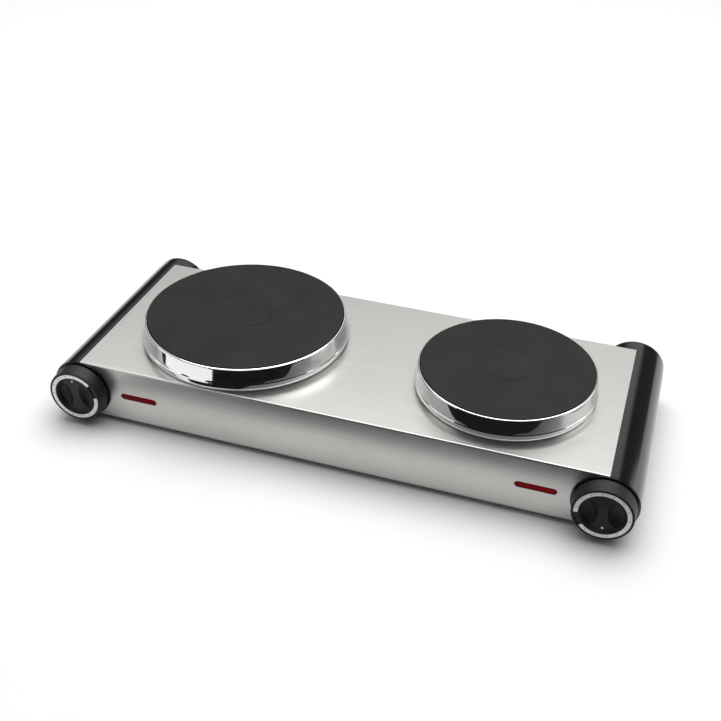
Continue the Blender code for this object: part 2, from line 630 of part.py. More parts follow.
def ellipsoid(name, centre, radii, angle):
    """A stretched ball whose long side follows the pointer's direction."""
    bm = bmesh.new()
    bmesh.ops.create_uvsphere(bm, u_segments=ROUND_SMALL, v_segments=ROUND_SMALL // 2, radius=1.0)
    mesh = mesh_from(bm, name)
    item = place(name, mesh, None)
    item.scale = radii
    item.location = centre
    item.rotation_euler = (math.pi / 2, -angle, 0)
    return item


def knob(side, sign):
    x = sign * END_X
    angle = POINTER_ANGLE[side]
    front = KNOB_FRONT
    groove = front - DIAL_THICKNESS - 2 * GAP
    face = front - GRIP_DEPTH
    back = KNOB_BACK
    hollow = back + KNOB_HOLLOW
    profile = [(0, face), (GRIP_RADIUS, face), (DIAL_INNER - 3 * GAP, front - GAP),
               (DIAL_INNER - GAP, front - GAP),
               (DIAL_INNER - GAP, groove), (DIAL_OUTER + GAP, groove), (DIAL_OUTER + GAP, front),
               (KNOB_FRONT_RADIUS - 2 * GAP, front), (KNOB_FRONT_RADIUS, front - 2 * GAP),
               (KNOB_REAR_RADIUS, back), (KNOB_REAR_RADIUS - KNOB_WALL, back),
               (KNOB_REAR_RADIUS - KNOB_WALL, hollow), (KNOB_BOSS, hollow), (KNOB_BOSS, NUT_FRONT + GAP),
               (0, NUT_FRONT + GAP)]
    item = turned(side + "_knob", profile, MATT_BLACK, (x, 0, AXIS_Z), forward=True, segments=ROUND_MEDIUM)
    cut(item, prism(side + "_knob_bore", d_outline(x, SPINDLE_RADIUS + GAP, SPINDLE_FLAT + GAP, angle),
                    -front + KNOB_BORE_END, -back))
    across = (math.cos(angle), -math.sin(angle))
    for hand in (-1, 1):
        centre = (x + hand * SCOOP_OFFSET * across[0], -face, AXIS_Z + hand * SCOOP_OFFSET * across[1])
        cut(item, ellipsoid(f"{side}_scoop_{hand + 1}", centre, SCOOP_RADII, -angle))


def dial_ring(side, sign):
    """Flat bright ring, open for a short stretch clockwise of the pointer."""
    x = sign * END_X
    middle = math.degrees(POINTER_ANGLE[side] + DIAL_GAP_FROM_POINTER)
    half = math.degrees(DIAL_GAP_ANGLE) / 2
    start = 90 - middle - half
    outline = arc((0, 0), DIAL_OUTER, start, start - 360 + 2 * half, ROUND_MEDIUM)
    outline += arc((0, 0), DIAL_INNER, start - 360 + 2 * half, start, ROUND_MEDIUM)
    item = prism(side + "_dial_ring", outline, -KNOB_FRONT + GAP, -KNOB_FRONT + GAP + DIAL_THICKNESS,
                 DIAL_SILVER)
    item.location.x = x
    item.location.z = AXIS_Z


# ------------------------------------------------------------------------- lamps
def lamp(side, sign):
    x = sign * LAMP_X
    panel_back = -FRONT_Y + SHEET + GAP
    lens = prism(side + "_lamp_lens",
                 stadium(x, AXIS_Z, LAMP_LENGTH - 2 * GAP, LAMP_HEIGHT - 2 * GAP),
                 -FRONT_Y + LENS_RECESS, panel_back + GAP, RED_LENS)
    unite(lens, prism(side + "_lens_flange",
                      stadium(x, AXIS_Z, LAMP_LENGTH + 2 * LENS_FLANGE, LAMP_HEIGHT + 2 * LENS_FLANGE),
                      panel_back, panel_back + LENS_DEPTH - SHEET))
    y = panel_back + LENS_DEPTH - SHEET + GAP + NEON_RADIUS
    straight = NEON_LENGTH / 2 - NEON_RADIUS
    profile = [(radius, height + straight) for radius, height in
               ((NEON_RADIUS * math.cos(a), NEON_RADIUS * math.sin(a)) for a in quarter(True))]
    profile += [(radius, height - straight) for radius, height in
                ((NEON_RADIUS * math.cos(a), NEON_RADIUS * math.sin(a)) for a in quarter(False))]
    neon = turned(side + "_neon_lamp", profile, GLASS, (x, y, AXIS_Z), segments=ROUND_SCREW)
    neon.rotation_euler = (0, math.pi / 2, 0)


def quarter(upper):
    """Angles of a ball's end, from the pole to the waist, or from the waist to the pole."""
    steps = FILLET_STEPS
    angles = [math.pi / 2 * (1 - i / steps) for i in range(steps + 1)]
    if upper:
        return angles
    return [-a for a in reversed(angles)]


# ----------------------------------------------------------------- feet and fixings
def foot(name, x, y):
    hole = SCREW_RADIUS + GAP
    sink = SCREW_HEAD_RADIUS + 2 * GAP
    top = BASE_UNDER - GAP
    profile = [(hole, top), (FOOT_RADIUS - GAP, top), (FOOT_RADIUS, top - GAP), (FOOT_TIP_RADIUS, GAP),
               (FOOT_TIP_RADIUS - GAP, 0), (sink, 0), (sink, FOOT_SINK), (hole, FOOT_SINK)]
    turned(name, profile, RUBBER, (x, y, 0), closed=True, segments=ROUND_SMALL)


def screw(name, x, y, head_top, tip):
    """Pan-head screw that points up; head_top is where its head bears."""
    head_low = head_top - SCREW_HEAD
    profile = [(0, tip), (SCREW_RADIUS / 2, tip), (SCREW_RADIUS, tip - SCREW_RADIUS),
               (SCREW_RADIUS, head_top),
               (SCREW_HEAD_RADIUS, head_top), (SCREW_HEAD_RADIUS, head_top - SCREW_HEAD / 2),
               (SCREW_HEAD_RADIUS * 0.7, head_low), (0, head_low)]
    turned(name, profile, PLAIN_STEEL, (x, y, 0), segments=ROUND_SCREW)


def feet_and_screws():
    bracket_top = TONGUE_TOP + GAP + BRACKET_SHEET
    for side, sign in SIDES.items():
        for end, face in (("front", -1), ("rear", 1)):
            x, y = sign * FOOT_X, face * FOOT_Y
            foot(f"{end}_{side}_foot", x, y)
            held = bracket_top if end == "front" else TONGUE_TOP
            screw(f"{end}_{side}_foot_screw", x, y, FOOT_SINK - GAP, held + FOOT_SCREW_TIP)
            screw(f"{end}_{side}_base_screw", sign * BASE_SCREW_X, face * base_screw_y(), BASE_UNDER - GAP,
                  BASE_UNDER - GAP + BASE_SCREW_LENGTH)


# ------------------------------------------------------------------ supply and leads
def supply():
    profile = [(GLAND_BORE, -(FRONT_Y - GLAND_IN)), (GLAND_RADIUS, -(FRONT_Y - GLAND_IN)),
               (GLAND_RADIUS, -(FRONT_Y + GAP)), (GLAND_FLANGE, -(FRONT_Y + GAP)),
               (GLAND_FLANGE, -(FRONT_Y + GLAND_OUT) + EDGE_ROUND / 2),
               (GLAND_FLANGE - EDGE_ROUND / 2, -(FRONT_Y + GLAND_OUT)),
               (GLAND_BORE, -(FRONT_Y + GLAND_OUT))]
    turned("cord_gland", profile, RUBBER, (GLAND_X, 0, AXIS_Z), closed=True, forward=True,
           segments=ROUND_SMALL)
    width, depth, height = MAINS_SIZE
    box("mains_terminal_block", (GLAND_X - width / 2, MAINS_Y - depth / 2, BASE_TOP + GAP),
        (GLAND_X + width / 2, MAINS_Y + depth / 2, BASE_TOP + GAP + height), NYLON)


def smooth_path(points, steps):
    """A smooth curve through the points; its first and last stretches are straight."""
    points = [Vector(p) for p in points]
    path = [points[0]]
    for a, b, c, d in zip(points, points[1:], points[2:], points[3:]):
        for i in range(steps):
            t = i / steps
            path.append(0.5 * (2 * b + (c - a) * t + (2 * a - 5 * b + 4 * c - d) * t * t
                               + (3 * b - a - 3 * c + d) * t ** 3))
    return path + points[-2:]


def lead(name, route):
    curve = bpy.data.curves.new(name, "CURVE")
    curve.dimensions = "3D"
    curve.bevel_depth = LEAD_RADIUS
    curve.bevel_resolution = 2
    curve.use_fill_caps = True
    path = smooth_path(route, LEAD_STEPS)
    spline = curve.splines.new("POLY")
    spline.points.add(len(path) - 1)
    for point, spot in zip(spline.points, path):
        point.co = (*spot, 1)
    item = bpy.data.objects.new(name, curve)
    curve.materials.append(LEAD_SLEEVE)
    PARTS.objects.link(item)


def leads():
    """Supply to each thermostat, thermostat to plate, and supply to plate."""
    run_z = BASE_TOP + 5 * LEAD_RADIUS
    mains_front = MAINS_Y - MAINS_SIZE[1] / 2 - GAP
    mains_z = BASE_TOP + MAINS_SIZE[2] / 2
    body_back = -THERMOSTAT_FRONT + THERMOSTAT_SIZE[1] + GAP
    block_low = plate_block_low() - GAP
    straight = 5 * LEAD_RADIUS
    for (side, sign), (name, (x, y, _, _)) in zip(SIDES.items(), PLATES.items()):
        pole = GLAND_X + sign * MAINS_SIZE[0] / 8
        tap = sign * (END_X - THERMOSTAT_SIZE[0] / 4)
        block_x = x + BLOCK_OFFSET
        near_end = sign * (END_X - THERMOSTAT_SIZE[0])
        lead(side + "_supply_lead", [
            (pole, mains_front, mains_z), (pole, mains_front - straight, mains_z),
            (pole + sign * 6 * straight, mains_front - 3 * straight, run_z), (near_end, 0, run_z),
            (tap, body_back + 3 * straight, AXIS_Z), (tap, body_back + straight, AXIS_Z),
            (tap, body_back, AXIS_Z)])
        low_tap = AXIS_Z - THERMOSTAT_SIZE[2] / 3
        lead(side + "_load_lead", [
            (tap, body_back, low_tap), (tap, body_back + straight, low_tap),
            ((tap + block_x) / 2, y - 3 * straight, run_z + straight),
            (block_x - BLOCK_SIZE[0] / 4, y - BLOCK_SIZE[1] / 4, block_low - 2 * straight),
            (block_x - BLOCK_SIZE[0] / 4, y - BLOCK_SIZE[1] / 4, block_low)])
        outer_pole = GLAND_X + sign * MAINS_SIZE[0] * 3 / 8
        lead(name + "_return_lead", [
            (outer_pole, mains_front, mains_z), (outer_pole, mains_front - straight, mains_z),
            ((outer_pole + block_x) / 2, y + MAINS_Y / 3, run_z + 3 * straight),
            (block_x + BLOCK_SIZE[0] / 4, y + BLOCK_SIZE[1] / 4, block_low - 2 * straight),
            (block_x + BLOCK_SIZE[0] / 4, y + BLOCK_SIZE[1] / 4, block_low)])


# -------------------------------------------------------------------------- build
deck()
base_pan()
for plate_name, (plate_x, plate_y, plate_radius, ring_extra) in PLATES.items():
    iron_plate(plate_name, plate_x, plate_y, plate_radius)
    plate_cover(plate_name, plate_x, plate_y, plate_radius)
    trim_ring(plate_name, plate_x, plate_y, plate_radius, ring_extra)
    shield_floor = heat_shield(plate_name, plate_x, plate_y, plate_radius)
    plate_fixings(plate_name, plate_x, plate_y, plate_radius, shield_floor)
    plate_terminal(plate_name, plate_x, plate_y)
for side_name, side_sign in SIDES.items():
    end_cover(side_name, side_sign)
    front_bezel(side_name, side_sign)
    rear_cap(side_name, side_sign)
    thermostat(side_name, side_sign)
    bracket(side_name, side_sign)
    spindle(side_name, side_sign)
    knob(side_name, side_sign)
    dial_ring(side_name, side_sign)
    lamp(side_name, side_sign)
feet_and_screws()
supply()
leads()
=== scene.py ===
# %% [markdown]
# # Dressing a double hot plate
#
# The frame already holds every part of the appliance at its real size: the folded deck, the two
# round black ends, the iron plates, the knobs and all that sits inside. This lesson gives those
# parts the surfaces that a maker would see on the bench: brushed stainless steel, coated cast
# iron, polished trim, gloss and matt black mouldings, and two red lamp lenses.

# %% Load the frame and keep its size
import json
import math

import bmesh
import bpy
from mathutils import Matrix, Vector


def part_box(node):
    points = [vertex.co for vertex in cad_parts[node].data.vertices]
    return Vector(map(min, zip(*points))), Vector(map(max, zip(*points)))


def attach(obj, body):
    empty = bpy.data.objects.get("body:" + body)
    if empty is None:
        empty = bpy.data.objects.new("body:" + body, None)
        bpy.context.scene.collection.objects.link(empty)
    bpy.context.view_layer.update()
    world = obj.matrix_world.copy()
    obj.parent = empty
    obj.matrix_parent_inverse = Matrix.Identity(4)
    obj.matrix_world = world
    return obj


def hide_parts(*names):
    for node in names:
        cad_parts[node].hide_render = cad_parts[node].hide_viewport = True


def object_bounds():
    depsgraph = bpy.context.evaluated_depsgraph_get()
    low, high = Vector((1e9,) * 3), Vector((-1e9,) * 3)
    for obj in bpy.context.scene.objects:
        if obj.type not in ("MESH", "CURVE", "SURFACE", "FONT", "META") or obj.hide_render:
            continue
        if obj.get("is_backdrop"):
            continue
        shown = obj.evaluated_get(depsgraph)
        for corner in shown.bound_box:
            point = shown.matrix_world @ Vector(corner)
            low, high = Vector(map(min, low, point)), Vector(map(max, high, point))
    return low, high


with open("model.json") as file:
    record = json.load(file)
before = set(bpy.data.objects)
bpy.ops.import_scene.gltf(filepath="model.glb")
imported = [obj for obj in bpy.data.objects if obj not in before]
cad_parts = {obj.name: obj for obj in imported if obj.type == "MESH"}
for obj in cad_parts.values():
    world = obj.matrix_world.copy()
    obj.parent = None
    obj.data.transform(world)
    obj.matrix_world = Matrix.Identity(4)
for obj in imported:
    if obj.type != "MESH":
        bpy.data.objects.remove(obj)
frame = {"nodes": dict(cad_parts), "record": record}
cad_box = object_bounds()
nodes = frame["nodes"]
MM = 0.001

# %% [markdown]
# Every place in this script is read from the frame, so nothing has to be fitted by eye. A node's
# box gives its lowest and highest corners, and most of the parts are round, so the middle of a
# box is a centre and half its width is a radius.

# %% Read places from the frame
deck_low, deck_high = (Vector(corner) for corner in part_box("deck"))
END_X = deck_high.x
FRONT_Y = -deck_low.y
DECK_TOP = deck_high.z
PANEL_BOTTOM = deck_low.z
SIDES = {"left": -1, "right": 1}
CONTROL = {side: side + "_control" for side in SIDES}


def middle(node):
    low, high = (Vector(corner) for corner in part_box(node))
    return (low + high) / 2


def size(node):
    low, high = (Vector(corner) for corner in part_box(node))
    return high - low


AXIS_Z = middle("left_knob").z
PLATES = {name: (middle(name + "_hotplate"), size(name + "_hotplate").x / 2) for name in ("large", "small")}
for name, (spot, radius) in PLATES.items():
    print(f"{name} plate: radius {radius / MM:.1f} mm at x {spot.x / MM:.1f} mm")

# %% [markdown]
# ## Tools for making shapes
#
# Nearly everything here is turned, pressed or moulded, so a few tools are enough. They make plain
# meshes, which keeps each piece light and easy to check. The first tool rounds the corners of a
# drawn outline. No real edge is perfectly sharp, and a bevel modifier would round corners that
# should stay crisp, so each corner is given its own radius.


# %% Round the corners of an outline
def soften(corners, closed=True, steps=4):
    """Turn (a, b, radius) corners into (a, b) points. A corner with a radius becomes an arc with
    an extra point on the straight run just before it and just after it. The extra points keep the
    shading of large flat faces flat, right up to the rounded edge."""
    count = len(corners)
    spots = [Vector(corner[:2]) for corner in corners]
    arcs = []
    for i, (a, b, radius) in enumerate(corners):
        if radius <= 0 or not (closed or 0 < i < count - 1):
            arcs.append(None)
            continue
        before = (spots[i - 1] - spots[i]).normalized()
        after = (spots[(i + 1) % count] - spots[i]).normalized()
        half = before.angle(after) / 2
        arcs.append((before, after, half, radius / math.tan(half)))
    path = []
    for i, arc in enumerate(arcs):
        if arc is None:
            path.append(tuple(spots[i]))
            continue
        before, after, half, tangent = arc
        radius = corners[i][2]
        centre = spots[i] + (before + after).normalized() * radius / math.sin(half)
        first = (spots[i] + before * tangent - centre).normalized()
        last = (spots[i] + after * tangent - centre).normalized()
        rounded = [tuple(centre + first.slerp(last, k / steps) * radius) for k in range(steps + 1)]
        for other, way, place in ((i - 1, before, 0), ((i + 1) % count, after, len(rounded) + 1)):
            taken = arcs[other][3] if arcs[other] else 0.0
            free = (spots[other] - spots[i]).length - tangent - taken
            if free > 0.02 * MM:
                extra = min(0.4 * radius, 0.3 * free)
                rounded.insert(place, tuple(spots[i] + way * (tangent + extra)))
        path += rounded
    return path


# %% [markdown]
# The lathe turns an outline round an axis. A screw modifier could do the same, but a few lines of
# our own leave no seam to weld and close the poles with single points.


# %% Turn an outline on the lathe
def lathe(outline, segments=192, closed=True):
    """Turn (radius, height) points about Z. Two points that are both on the axis get no face."""
    bm = bmesh.new()
    angles = [2 * math.pi * i / segments for i in range(segments)]
    rings = []
    for radius, height in outline:
        if radius < 1e-7:
            rings.append([bm.verts.new((0, 0, height))])
        else:
            rings.append([bm.verts.new((radius * math.cos(a), radius * math.sin(a), height)) for a in angles])
    pairs = list(zip(rings, rings[1:] + rings[:1])) if closed else list(zip(rings, rings[1:]))
    for upper, lower in pairs:
        if len(upper) + len(lower) == 2:
            continue
        for i in range(segments):
            j = (i + 1) % segments
            corners = [ring[k % len(ring)] for ring, k in ((upper, i), (upper, j), (lower, j), (lower, i))]
            bm.faces.new(list(dict.fromkeys(corners)))
    return bm


FACING_FRONT = Matrix.Rotation(math.pi / 2, 4, "X")


def on_axis(x, z):
    """Place a turned shape so that its height runs forwards, towards -Y."""
    return Matrix.Translation((x, 0, z)) @ FACING_FRONT


# %% [markdown]
# Pressed, folded and swept shapes are all rows of points joined one after another and closed at
# both ends. One function does that, and a press is then just an outline at two depths.


# %% Join rows of points
def skinned(rows):
    bm = bmesh.new()
    loops = [[bm.verts.new(point) for point in row] for row in rows]
    bm.faces.new(loops[0])
    bm.faces.new(list(reversed(loops[-1])))
    for first, second in zip(loops, loops[1:]):
        for i in range(len(first)):
            j = (i + 1) % len(first)
            bm.faces.new([first[j], first[i], second[i], second[j]])
    return bm


def pressed(outline, near, far):
    """A solid with an (x, z) outline between y = near and y = far."""
    return skinned([[(x, y, z) for x, z in outline] for y in (near, far)])


# %% [markdown]
# A finished piece has its object at the origin and its shape in its mesh. Each one rides on a
# body of the frame, wears its finish, and hides the frame's parts that it stands for.


# %% Finish a piece
def placed(name, data):
    item = bpy.data.objects.new(name, data)
    bpy.context.scene.collection.objects.link(item)
    return item


def loose(name, bm):
    bmesh.ops.recalc_face_normals(bm, faces=bm.faces)
    mesh = bpy.data.meshes.new(name)
    bm.to_mesh(mesh)
    bm.free()
    return placed(name, mesh)


def piece(name, bm, material, body, stands_for=(), place=Matrix.Identity(4), sharp=35):
    bm.transform(place)
    item = loose(name, bm)
    mesh = item.data
    mesh.shade_smooth()
    mesh.set_sharp_from_angle(angle=math.radians(sharp))
    mesh.materials.append(material)
    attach(item, body)
    if stands_for:
        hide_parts(*stands_for)
    print(f"{name}: {len(mesh.polygons)} faces")
    return item


# %% [markdown]
# Holes and slots are cut with closed shapes, by boolean modifiers that are read off and thrown
# away at once. Cutting keeps the sheet's thickness true at every edge, which moving points by
# hand would not, and a small bevel afterwards gives the cut its burr-free edge.


# %% Cut holes
def read_off(item):
    """Take the shape that an object's modifiers make, and throw the object away."""
    bpy.context.view_layer.update()
    made = bpy.data.meshes.new_from_object(item.evaluated_get(bpy.context.evaluated_depsgraph_get()))
    bm = bmesh.new()
    bm.from_mesh(made)
    bpy.data.meshes.remove(made)
    bpy.data.objects.remove(item, do_unlink=True)
    return bm


def carve(bm, cutters, bevel=0.0):
    """Cut closed shapes out of another one, then round the new edges."""
    target = loose("carved", bm)
    knives = [loose("cutter", cutter) for cutter in cutters]
    for knife in knives:
        step = target.modifiers.new("cut", "BOOLEAN")
        step.operation = "DIFFERENCE"
        step.object = knife
    if bevel:
        step = target.modifiers.new("edge", "BEVEL")
        step.width = bevel
        step.segments = 2
        step.limit_method = "ANGLE"
        step.angle_limit = math.radians(50)
    bm = read_off(target)
    for knife in knives:
        bpy.data.objects.remove(knife, do_unlink=True)
    return bm


# %% [markdown]
# Most cutters are a rod, a block, or a slot with round ends, which is what a punch leaves.


# %% Make simple cutters
def rod(radius, start, end, segments=48):
    """A cylinder from one point to another."""
    start, end = Vector(start), Vector(end)
    bm = bmesh.new()
    turn = Vector((0, 0, 1)).rotation_difference(end - start).to_matrix().to_4x4()
    bmesh.ops.create_cone(bm, cap_ends=True, segments=segments, radius1=radius, radius2=radius,
                          depth=(end - start).length, matrix=Matrix.Translation((start + end) / 2) @ turn)
    return bm


def block(centre, extent):
    bm = bmesh.new()
    bmesh.ops.create_cube(bm, size=1.0)
    for vertex in bm.verts:
        vertex.co = [c + v * e for c, v, e in zip(centre, vertex.co, extent)]
    return bm


def stadium(x, z, length, height, steps=12):
    """A slot's outline, with half-round ends."""
    radius = height / 2
    reach = length / 2 - radius
    outline = []
    for side, start in ((1, -90), (-1, 90)):
        for i in range(steps + 1):
            angle = math.radians(start + 180 * i / steps)
            outline.append((x + side * reach + radius * math.cos(angle), z + radius * math.sin(angle)))
    return outline


# %% [markdown]
# ## Finishes
#
# Each finish is a small node tree on a Principled shader. Numbers that are the same all over a
# surface sit on the shader's own sockets. Only what changes over the surface, such as the grain
# of a brushed sheet, comes from textures, and those read Object coordinates, in metres.


# %% Node tools
def new_material(name, colour, roughness, metallic=0.0, **sockets):
    material = bpy.data.materials.new(name)
    material.use_nodes = True
    surface = material.node_tree.nodes["Principled BSDF"]
    surface.inputs["Base Color"].default_value = (*colour, 1.0)
    surface.inputs["Roughness"].default_value = roughness
    surface.inputs["Metallic"].default_value = metallic
    for key, value in sockets.items():
        surface.inputs[key.replace("_", " ")].default_value = value
    return material


def node(material, kind, inputs, **settings):
    """Add a node; inputs may be values or other nodes' outputs."""
    tree = material.node_tree
    made = tree.nodes.new(kind)
    for key, value in settings.items():
        setattr(made, key, value)
    for key, value in inputs.items():
        if isinstance(value, bpy.types.NodeSocket):
            tree.links.new(value, made.inputs[key])
        else:
            made.inputs[key].default_value = value
    return made


def stretched_noise(material, scale, detail=3.0, stretch=(1, 1, 1)):
    """Noise over Object coordinates, drawn out along any axis with a small stretch."""
    place = node(material, "ShaderNodeTexCoord", {})
    shift = node(material, "ShaderNodeMapping", {"Vector": place.outputs["Object"], "Scale": stretch})
    noise = node(material, "ShaderNodeTexNoise", {"Vector": shift.outputs["Vector"], "Scale": scale,
                                                  "Detail": detail, "Roughness": 0.55})
    return noise.outputs["Fac"]


def turned_rings(material, shift, axis, scale, distortion, detail):
    """Fine, slightly uneven rings round an axis, as a lathe tool leaves them."""
    place = node(material, "ShaderNodeTexCoord", {})
    moved = node(material, "ShaderNodeMapping", {"Vector": place.outputs["Object"], "Location": shift})
    rings = node(material, "ShaderNodeTexWave",
                 {"Vector": moved.outputs["Vector"], "Scale": scale, "Distortion": distortion,
                  "Detail": detail, "Detail Scale": detail}, wave_type="RINGS", rings_direction=axis)
    return rings.outputs["Fac"]


def ranged(material, value, low, high, start=0.3, stop=0.7):
    """Spread the middle of a noise over a range."""
    return node(material, "ShaderNodeMapRange", {"Value": value, "From Min": start, "From Max": stop,
                                                 "To Min": low, "To Max": high}).outputs["Result"]


def blend(material, value, dark, light):
    return node(material, "ShaderNodeMix", {"Factor": value, "A": (*dark, 1), "B": (*light, 1)},
                data_type="RGBA").outputs["Result"]


def wire(material, socket, output):
    surface = material.node_tree.nodes["Principled BSDF"]
    material.node_tree.links.new(output, surface.inputs[socket])


def bump(material, height, strength, distance, below=None):
    inputs = {"Height": height, "Strength": strength, "Distance": distance}
    if below is not None:
        inputs["Normal"] = below
    made = node(material, "ShaderNodeBump", inputs)
    wire(material, "Normal", made.outputs["Normal"])
    return made.outputs["Normal"]


# %% [markdown]
# Brushed stainless steel is drawn through an abrasive belt along its length. Seen close up it is
# thousands of fine scratches, all nearly parallel, a few of them longer and deeper. So the noise
# is stretched along X for both the fine grain and the longer streaks. The shader is anisotropic
# too, because such a sheet smears its reflections across the grain.


# %% Brushed steel
def brushed_steel():
    made = new_material("brushed_steel", (0.62, 0.615, 0.60), 0.34, 1.0, Anisotropic=0.45)
    grain = stretched_noise(made, 1.0, 4.0, (30, 2600, 2600))
    streaks = stretched_noise(made, 1.0, 3.0, (12, 700, 700))
    smudges = stretched_noise(made, 14.0, 4.0)
    wire(made, "Base Color", blend(made, ranged(made, streaks, 0.0, 1.0, 0.25, 0.75),
                                   (0.590, 0.588, 0.574), (0.640, 0.638, 0.622)))
    soft = node(made, "ShaderNodeMath", {0: ranged(made, grain, 0.31, 0.38),
                                         1: ranged(made, smudges, -0.02, 0.02)}, operation="ADD")
    wire(made, "Roughness", soft.outputs["Value"])
    bump(made, grain, 0.18, 0.00003)
    tangent = node(made, "ShaderNodeTangent", {}, direction_type="UV_MAP", uv_map="grain")
    wire(made, "Tangent", tangent.outputs["Tangent"])
    return made


STEEL = brushed_steel()


# %% [markdown]
# The plates are cast iron with a matt black heat-proof coating. The coating is slightly pebbled,
# the machining underneath leaves faint rings round the middle, and the black has gone a little
# brown and grey in patches. The rings need the plate's own centre, so each plate gets its own
# copy of the finish.


# %% Coated cast iron
def coated_iron(name, centre):
    made = new_material(name, (0.015, 0.0146, 0.0135), 0.62, Specular_IOR_Level=0.25)
    rings = turned_rings(made, (-centre.x, -centre.y, 0), "Z", 160.0, 0.6, 2.0)
    pebbles = stretched_noise(made, 1500.0, 2.0)
    patches = stretched_noise(made, 22.0, 5.0)
    wire(made, "Base Color", blend(made, ranged(made, patches, 0.0, 1.0), (0.0095, 0.0092, 0.0085),
                                   (0.0125, 0.0120, 0.0111)))
    wire(made, "Roughness", ranged(made, patches, 0.66, 0.54))
    turned_marks = bump(made, rings, 0.12, 0.00004)
    bump(made, pebbles, 0.35, 0.00012, turned_marks)
    return made


IRON = {name: coated_iron(name + "_coated_iron", spot) for name, (spot, _) in PLATES.items()}


# %% [markdown]
# The trim is polished until it mirrors the room, so its finish is almost all in the lights. A
# little haze from wiping is what stops it from looking like a computer's mirror.


# %% Polished trim
def polished():
    made = new_material("polished_trim", (0.86, 0.86, 0.86), 0.05, 1.0)
    haze = stretched_noise(made, 60.0, 4.0)
    wire(made, "Roughness", ranged(made, haze, 0.035, 0.085))
    waves = stretched_noise(made, 18.0, 1.0)
    bump(made, waves, 0.05, 0.0004)
    return made


CHROME = polished()


# %% [markdown]
# The round ends are gloss black mouldings, and the knobs are matt. Gloss plastic is never quite
# flat: it ripples a little over its length. A matt knob gets its look from a spark-eroded mould,
# so its bump is much finer and its highlights are broad.


# %% Mouldings
def gloss_black():
    made = new_material("gloss_black", (0.006, 0.006, 0.0065), 0.13)
    ripple = stretched_noise(made, 55.0, 1.5)
    dust = stretched_noise(made, 900.0, 1.0)
    wire(made, "Roughness", ranged(made, dust, 0.11, 0.17))
    bump(made, ripple, 0.05, 0.0005)
    return made


def matt_black():
    made = new_material("matt_black", (0.020, 0.020, 0.0215), 0.45, Specular_IOR_Level=0.25)
    sparks = stretched_noise(made, 2600.0, 2.0)
    hands = stretched_noise(made, 90.0, 3.0)
    wire(made, "Base Color", blend(made, hands, (0.013, 0.013, 0.0142), (0.019, 0.019, 0.0203)))
    wire(made, "Roughness", ranged(made, hands, 0.36, 0.50))
    bump(made, sparks, 0.30, 0.00006)
    return made


GLOSS = gloss_black()
MATT = matt_black()


# %% [markdown]
# The dial is a thin silver ring, faced on a lathe, so its scratches run in circles round the
# knob's own axis. It is a metallic paint and not a mirror, so it stays light when the room in
# front of it is dark. The marks on it are printed in dark ink, and the pointer on the grip is a
# dot of white paint. The lamp lenses are deep red plastic with hardly any shine of their own.


# %% Dial, ink, paint, lens
def dial_metal(side):
    made = new_material(side + "_dial_metal", (0.82, 0.82, 0.80), 0.40, 0.35)
    centre = middle(side + "_knob")
    rings = turned_rings(made, (-centre.x, 0, -centre.z), "Y", 900.0, 1.5, 3.0)
    wire(made, "Roughness", ranged(made, rings, 0.32, 0.48, 0.0, 1.0))
    bump(made, rings, 0.12, 0.00003)
    return made


def speckled(name, colour, roughness, scale, depth, metallic=0.0, spread=0.25, **sockets):
    """A finish with a fine surface and a little variation in its colour."""
    made = new_material(name, colour, roughness, metallic, **sockets)
    fine = stretched_noise(made, scale, 3.0)
    wide = stretched_noise(made, 45.0, 3.0)
    dark = tuple(c * (1 - spread / 2) for c in colour)
    light = tuple(min(1.0, c * (1 + spread / 2)) for c in colour)
    wire(made, "Base Color", blend(made, ranged(made, wide, 0.0, 1.0), dark, light))
    wire(made, "Roughness", ranged(made, fine, roughness * 0.85, roughness * 1.15))
    bump(made, fine, 0.25, depth)
    return made


DIAL = {side: dial_metal(side) for side in SIDES}
INK = speckled("dial_ink", (0.06, 0.06, 0.065), 0.5, 3000.0, 0.00001)
PAINT = speckled("pointer_paint", (0.82, 0.82, 0.80), 0.45, 2500.0, 0.00002, spread=0.1)
LENS = speckled("red_lens", (0.20, 0.002, 0.004), 0.25, 400.0, 0.00003, spread=0.3, Specular_IOR_Level=0.05)
RUBBER = speckled("rubber", (0.022, 0.022, 0.022), 0.75, 1200.0, 0.0001)
ZINC = speckled("zinc_plate", (0.48, 0.48, 0.47), 0.42, 700.0, 0.00005, metallic=1.0)
CERAMIC = speckled("ceramic", (0.78, 0.76, 0.70), 0.60, 1500.0, 0.0001, spread=0.08)
BAKELITE = speckled("bakelite", (0.09, 0.055, 0.038), 0.38, 900.0, 0.00004)
SLEEVE = speckled("woven_sleeve", (0.66, 0.64, 0.58), 0.80, 2200.0, 0.0002, spread=0.15)
NYLON = speckled("nylon", (0.74, 0.74, 0.70), 0.45, 800.0, 0.00005, spread=0.08)
BULB = speckled("lamp_glass", (0.85, 0.80, 0.74), 0.06, 300.0, 0.00001, spread=0.05, Transmission_Weight=0.8)

# %% [markdown]
# Parts that nobody sees without a screwdriver keep the frame's own shapes. They still wear a
# proper finish, chosen by the slot that the record gives them.

# %% Dress the hidden parts
HIDDEN = {"plain_steel": ZINC, "lamp_glass": BULB, "ceramic": CERAMIC, "bakelite": BAKELITE,
          "rubber": RUBBER, "lead_sleeve": SLEEVE, "nylon": NYLON, "deck_steel": STEEL,
          "gloss_black": GLOSS, "matt_black": MATT, "chrome": CHROME, "red_lens": LENS,
          "iron": IRON["large"], "dial_silver": DIAL["left"]}
slots = {part["node"]: part["material_slot"] for part in frame["record"]["subparts"]}
for name, item in nodes.items():
    item.data.materials.clear()
    item.data.materials.append(HIDDEN[slots[name]])
print("dressed", len(nodes), "frame nodes")

